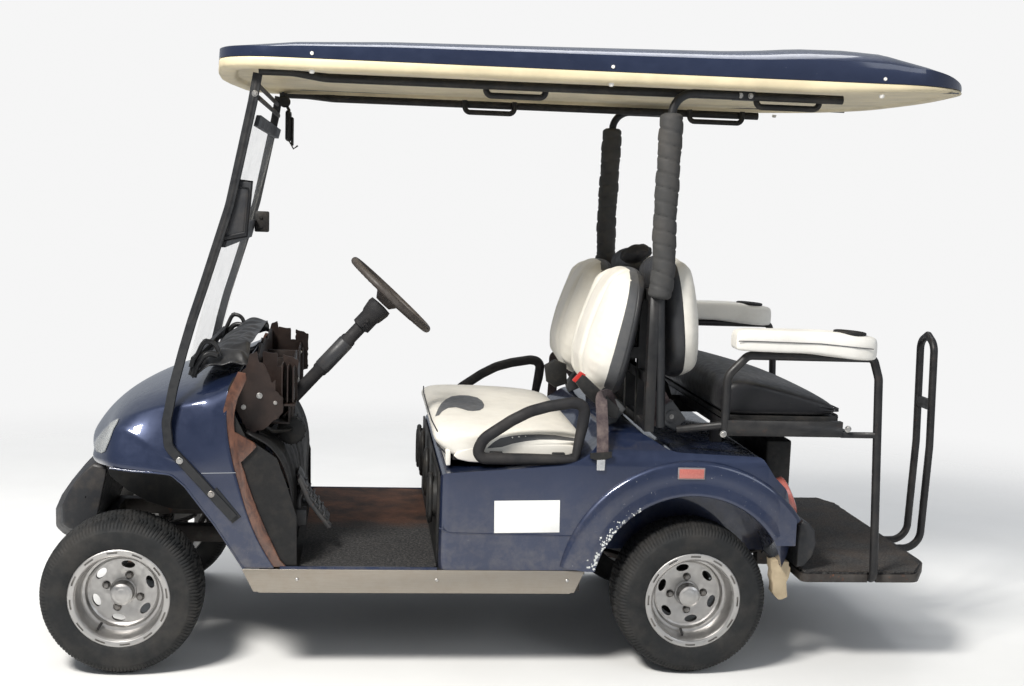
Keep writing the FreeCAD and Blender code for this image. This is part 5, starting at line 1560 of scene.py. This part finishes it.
# Seat belts
BUCKLE = [(1302, 868), (1322, 893), (1336, 884), (1438, 792), (1430, 760), (1412, 764), (1330, 834)]
BUCKLE_RED = [(1294, 872), (1318, 899), (1334, 890), (1310, 862)]
woven = Finish("belt_webbing", (0.045, 0.030, 0.034), rough=0.8, sheen=0.1)
woven.colour(woven.blend(woven.between(woven.noise(30.0, 8, 0.7), 0.4, 0.72), (0.040, 0.026, 0.030),
                         (0.15, 0.115, 0.105)))
woven.bump(woven.weave(260.0, 0.4), 0.35, 0.4)
belt_red = grained_plastic("buckle_red", (0.42, 0.022, 0.016), 0.35, 700.0, 0.15)
bm = bmesh.new()
for s in (LEFT, RIGHT):
    flat_run(bm, s, [(1434, 402, 772), (1402, 470, 832, 30), (1374, 522, 834, 18), (1378, 548, 744, 60),
                     (1378, 567, 668)], 34, 2.2)
    flat_run(bm, s, [(1446, 330, 792), (1426, 305, 822)], 30, 2.2)
    flat_run(bm, s, [(1590, 420, 800), (1560, 452, 846, 20), (1552, 470, 800, 14), (1562, 472, 742)], 32, 2.2)
piece("belt_webbing", bm, woven.material)
bm = bmesh.new()
both_plates(bm, [(1341, 672), (1405, 677), (1405, 661), (1388, 654), (1356, 652), (1342, 657)], 562, 572,
            round_by=2)
both_plates(bm, [(1362, 660), (1387, 660), (1386, 621), (1363, 621)], 565.5, 568.5, round_by=0.8, steps=1,
            mat=1)
piece("belt_tongues", bm, [dark_plastic, chrome], sharp=30)
bm = bmesh.new()
plate(bm, BUCKLE, -486, -458, "y", 4)
plate(bm, BUCKLE_RED, -484, -460, "y", 2.5, 2, 1)
plate(bm, [(1288, 845), (1322, 865), (1362, 850), (1366, 784), (1326, 770), (1296, 790)], 106, 134, "y", 8)
piece("belt_buckles", bm, [dark_plastic, belt_red], sharp=30)
bm = bmesh.new()
both_plates(bm, [(1398, 751), (1442, 811), (1474, 778), (1445, 736), (1410, 720)], 352, 398, round_by=6,
            steps=3)
both_plates(bm, [(1568, 784), (1617, 806), (1661, 750), (1627, 713), (1584, 738)], 352, 398, round_by=6,
            steps=3)
for s in (LEFT, RIGHT):
    for x, z in ((1436, 764), (1614, 758)):
        lathe(bm, [(0, 20), (4, 19), (6, 15), (6, 0)], (x, s * 398, z), (0, s, 0), 28)
        bolt(bm, x, s * 404, z, 5, 4, (0, s, 0), 1)
piece("reel_cases", bm, [grey_plastic, zinc], instead_of=["belt_reels"], sharp=30)
bm = bmesh.new()
made = bmesh.ops.create_icosphere(bm, subdivisions=4, radius=1.0)["verts"]
for v in made:
    lump = 1 + 0.10 * noise.noise(v.co * 2.1) + 0.05 * noise.noise(v.co * 6.0)
    v.co = at(1560 + v.co.x * 50 * lump, v.co.y * 66 * lump, 1232 + v.co.z * 30 * lump + 0.16 * v.co.x * 60)
piece("head_foam", bm, foam_black)
bm = bmesh.new()
plate(bm, [(1440, 712), (1500, 690), (1890, 690), (1890, 748), (1736, 748), (1720, 790), (1650, 850),
           (1480, 850), (1432, 790)], 150, 156, "y", 4)
# The divider uses the same black, darkened as painted shade.
piece("seat_divider", bm, black_darkened_as_shade)

# Under the bench and behind the pod
bm = bmesh.new()
block(bm, (1934, 2016), (-336, 336), (520, 680), 8, 3)
for y in (-240, 0, 240):
    block(bm, (2014, 2019), (y - 60, y + 60), (560, 640), 2)
piece("rear_box", bm, dark_plastic)
bm = bmesh.new()
plate(bm, ragged([(1918, 340), (1976, 334), (1982, 300), (1974, 262), (1978, 224), (1950, 216), (1930, 238),
                  (1924, 290)], 5.0, 12, 2), -505, -462, "y", 2)
piece("foam_remnant", bm,
      grained_plastic("foam_beige", (0.42, 0.34, 0.23), 0.9, 160.0, 0.5, (0.16, 0.12, 0.08)))

# Rubber deck mat with a worn edge
grit = Finish("deck_rubber", (0.02, 0.02, 0.02), rough=0.85, specular=0.3)
speck = grit.between(grit.noise(210.0, 6, 0.8), 0.42, 0.70)
dirty = grit.between(grit.noise(7.0, 9, 0.7), 0.42, 0.74)
gritty = grit.blend(speck, (0.012, 0.012, 0.013), (0.115, 0.11, 0.105))
grit.colour(grit.blend(grit.calc("MULTIPLY", dirty, 0.55), gritty, (0.085, 0.058, 0.040)))
grit.bump(grit.cells(170.0), 0.8, 1.6)
bm = bmesh.new()
rim = [(2018, -522), (2200, -527), (2362, -528), (2408, -448), (2435, -288), (2422, -237), (2435, -75),
       (2436, 99), (2434, 269), (2440, 435), (2400, 526), (2018, 522)]
plate(bm, [p for p in ragged(rim, 3.2, 16, 12) if not (2200 < p[0] < 2262 and abs(p[1]) > 500)], 309.2, 313.0,
      "z")
piece("deck_mat_top", bm, grit.material)


# Camera, light and floor

def look_from():
    """The photograph's camera: its place, its turn and its lens."""
    yaw, pitch, roll = (math.radians(a) for a in (6.29, 8.07, -1.99))
    ahead = Vector((math.sin(yaw) * math.cos(pitch), math.cos(yaw) * math.cos(pitch), -math.sin(pitch)))
    right = Vector((math.cos(yaw), -math.sin(yaw), 0))
    down = ahead.cross(right)
    r = right * math.cos(roll) + down * math.sin(roll)
    d = down * math.cos(roll) - right * math.sin(roll)
    data = bpy.data.cameras.new("camera")
    data.sensor_width = 36
    data.lens = 49.33
    data.shift_x = -0.00164
    data.shift_y = 0.0514
    data.clip_end = 60
    cam = bpy.data.objects.new("camera", data)
    bpy.context.scene.collection.objects.link(cam)
    turn = Matrix((r, -d, -ahead)).transposed().to_4x4()
    cam.matrix_world = Matrix.Translation((-0.48649, -4.53534, 1.40272)) @ turn
    bpy.context.scene.camera = cam


def lamp(name, place, aim, size, power, colour=(1, 1, 1)):
    data = bpy.data.lights.new(name, "AREA")
    data.shape = "RECTANGLE"
    data.size, data.size_y = size
    data.energy = power
    data.color = colour
    ob = bpy.data.objects.new(name, data)
    bpy.context.scene.collection.objects.link(ob)
    ob.location = place
    ob.rotation_euler = (Vector(aim) - Vector(place)).to_track_quat("-Z", "Y").to_euler()


def studio():
    world = bpy.data.worlds.new("studio")
    bpy.context.scene.world = world
    world.use_nodes = True
    tree = world.node_tree
    back = tree.nodes["Background"]
    path = tree.nodes.new("ShaderNodeLightPath")
    mix = tree.nodes.new("ShaderNodeMix")
    mix.data_type = "RGBA"
    seen = tree.nodes.new("ShaderNodeMath")
    seen.operation = "MAXIMUM"
    tree.links.new(path.outputs["Is Camera Ray"], seen.inputs[0])
    tree.links.new(path.outputs["Is Transmission Ray"], seen.inputs[1])
    tree.links.new(seen.outputs[0], mix.inputs[0])
    mix.inputs[6].default_value = (0.32, 0.34, 0.37, 1)
    mix.inputs[7].default_value = (0.92, 0.92, 0.92, 1)
    tree.links.new(mix.outputs[2], back.inputs["Color"])
    back.inputs["Strength"].default_value = 1.0
    floor_mesh = bmesh.new()
    bmesh.ops.create_grid(floor_mesh, x_segments=2, y_segments=2, size=30)
    mesh = bpy.data.meshes.new("floor")
    floor_mesh.to_mesh(mesh)
    floor_mesh.free()
    floor = bpy.data.objects.new("floor", mesh)
    bpy.context.scene.collection.objects.link(floor)
    ground = Finish("floor_pale", (0.80, 0.80, 0.79), rough=0.9)
    ground.colour(ground.blend(ground.between(ground.noise(2.0, 5), 0.3, 0.7), (0.78, 0.78, 0.77),
                               (0.83, 0.83, 0.82)))
    mesh.materials.append(ground.material)
    tree = ground.material.node_tree
    out = next(n for n in tree.nodes if n.type == "OUTPUT_MATERIAL")
    shade = out.inputs["Surface"].links[0].from_socket
    place, reach = tree.nodes.new("ShaderNodeTexCoord"), tree.nodes.new("ShaderNodeVectorMath")
    reach.operation = "LENGTH"
    fade, nothing = tree.nodes.new("ShaderNodeMapRange"), tree.nodes.new("ShaderNodeBsdfTransparent")
    fade.interpolation_type = "SMOOTHSTEP"
    fade.inputs["From Min"].default_value = 2.0
    fade.inputs["From Max"].default_value = 5.2
    both = tree.nodes.new("ShaderNodeMixShader")
    tree.links.new(place.outputs["Object"], reach.inputs[0])
    tree.links.new(reach.outputs["Value"], fade.inputs["Value"])
    tree.links.new(fade.outputs["Result"], both.inputs[0])
    tree.links.new(shade, both.inputs[1])
    tree.links.new(nothing.outputs[0], both.inputs[2])
    tree.links.new(both.outputs[0], out.inputs["Surface"])
    lamp("key", (-3.0, -3.8, 5.4), (0.0, 0.0, 0.8), (1.6, 1.2), 600, (1.0, 0.97, 0.92))
    lamp("fill", (3.8, -4.6, 3.0), (0.2, 0.0, 0.9), (3.0, 2.0), 50, (0.92, 0.96, 1.0))
    lamp("top", (0.3, 1.5, 5.5), (0.0, 0.0, 0.8), (4.0, 3.0), 130)
    view = bpy.context.scene.view_settings
    view.view_transform = "Standard"
    view.look = "None"


look_from()
studio()
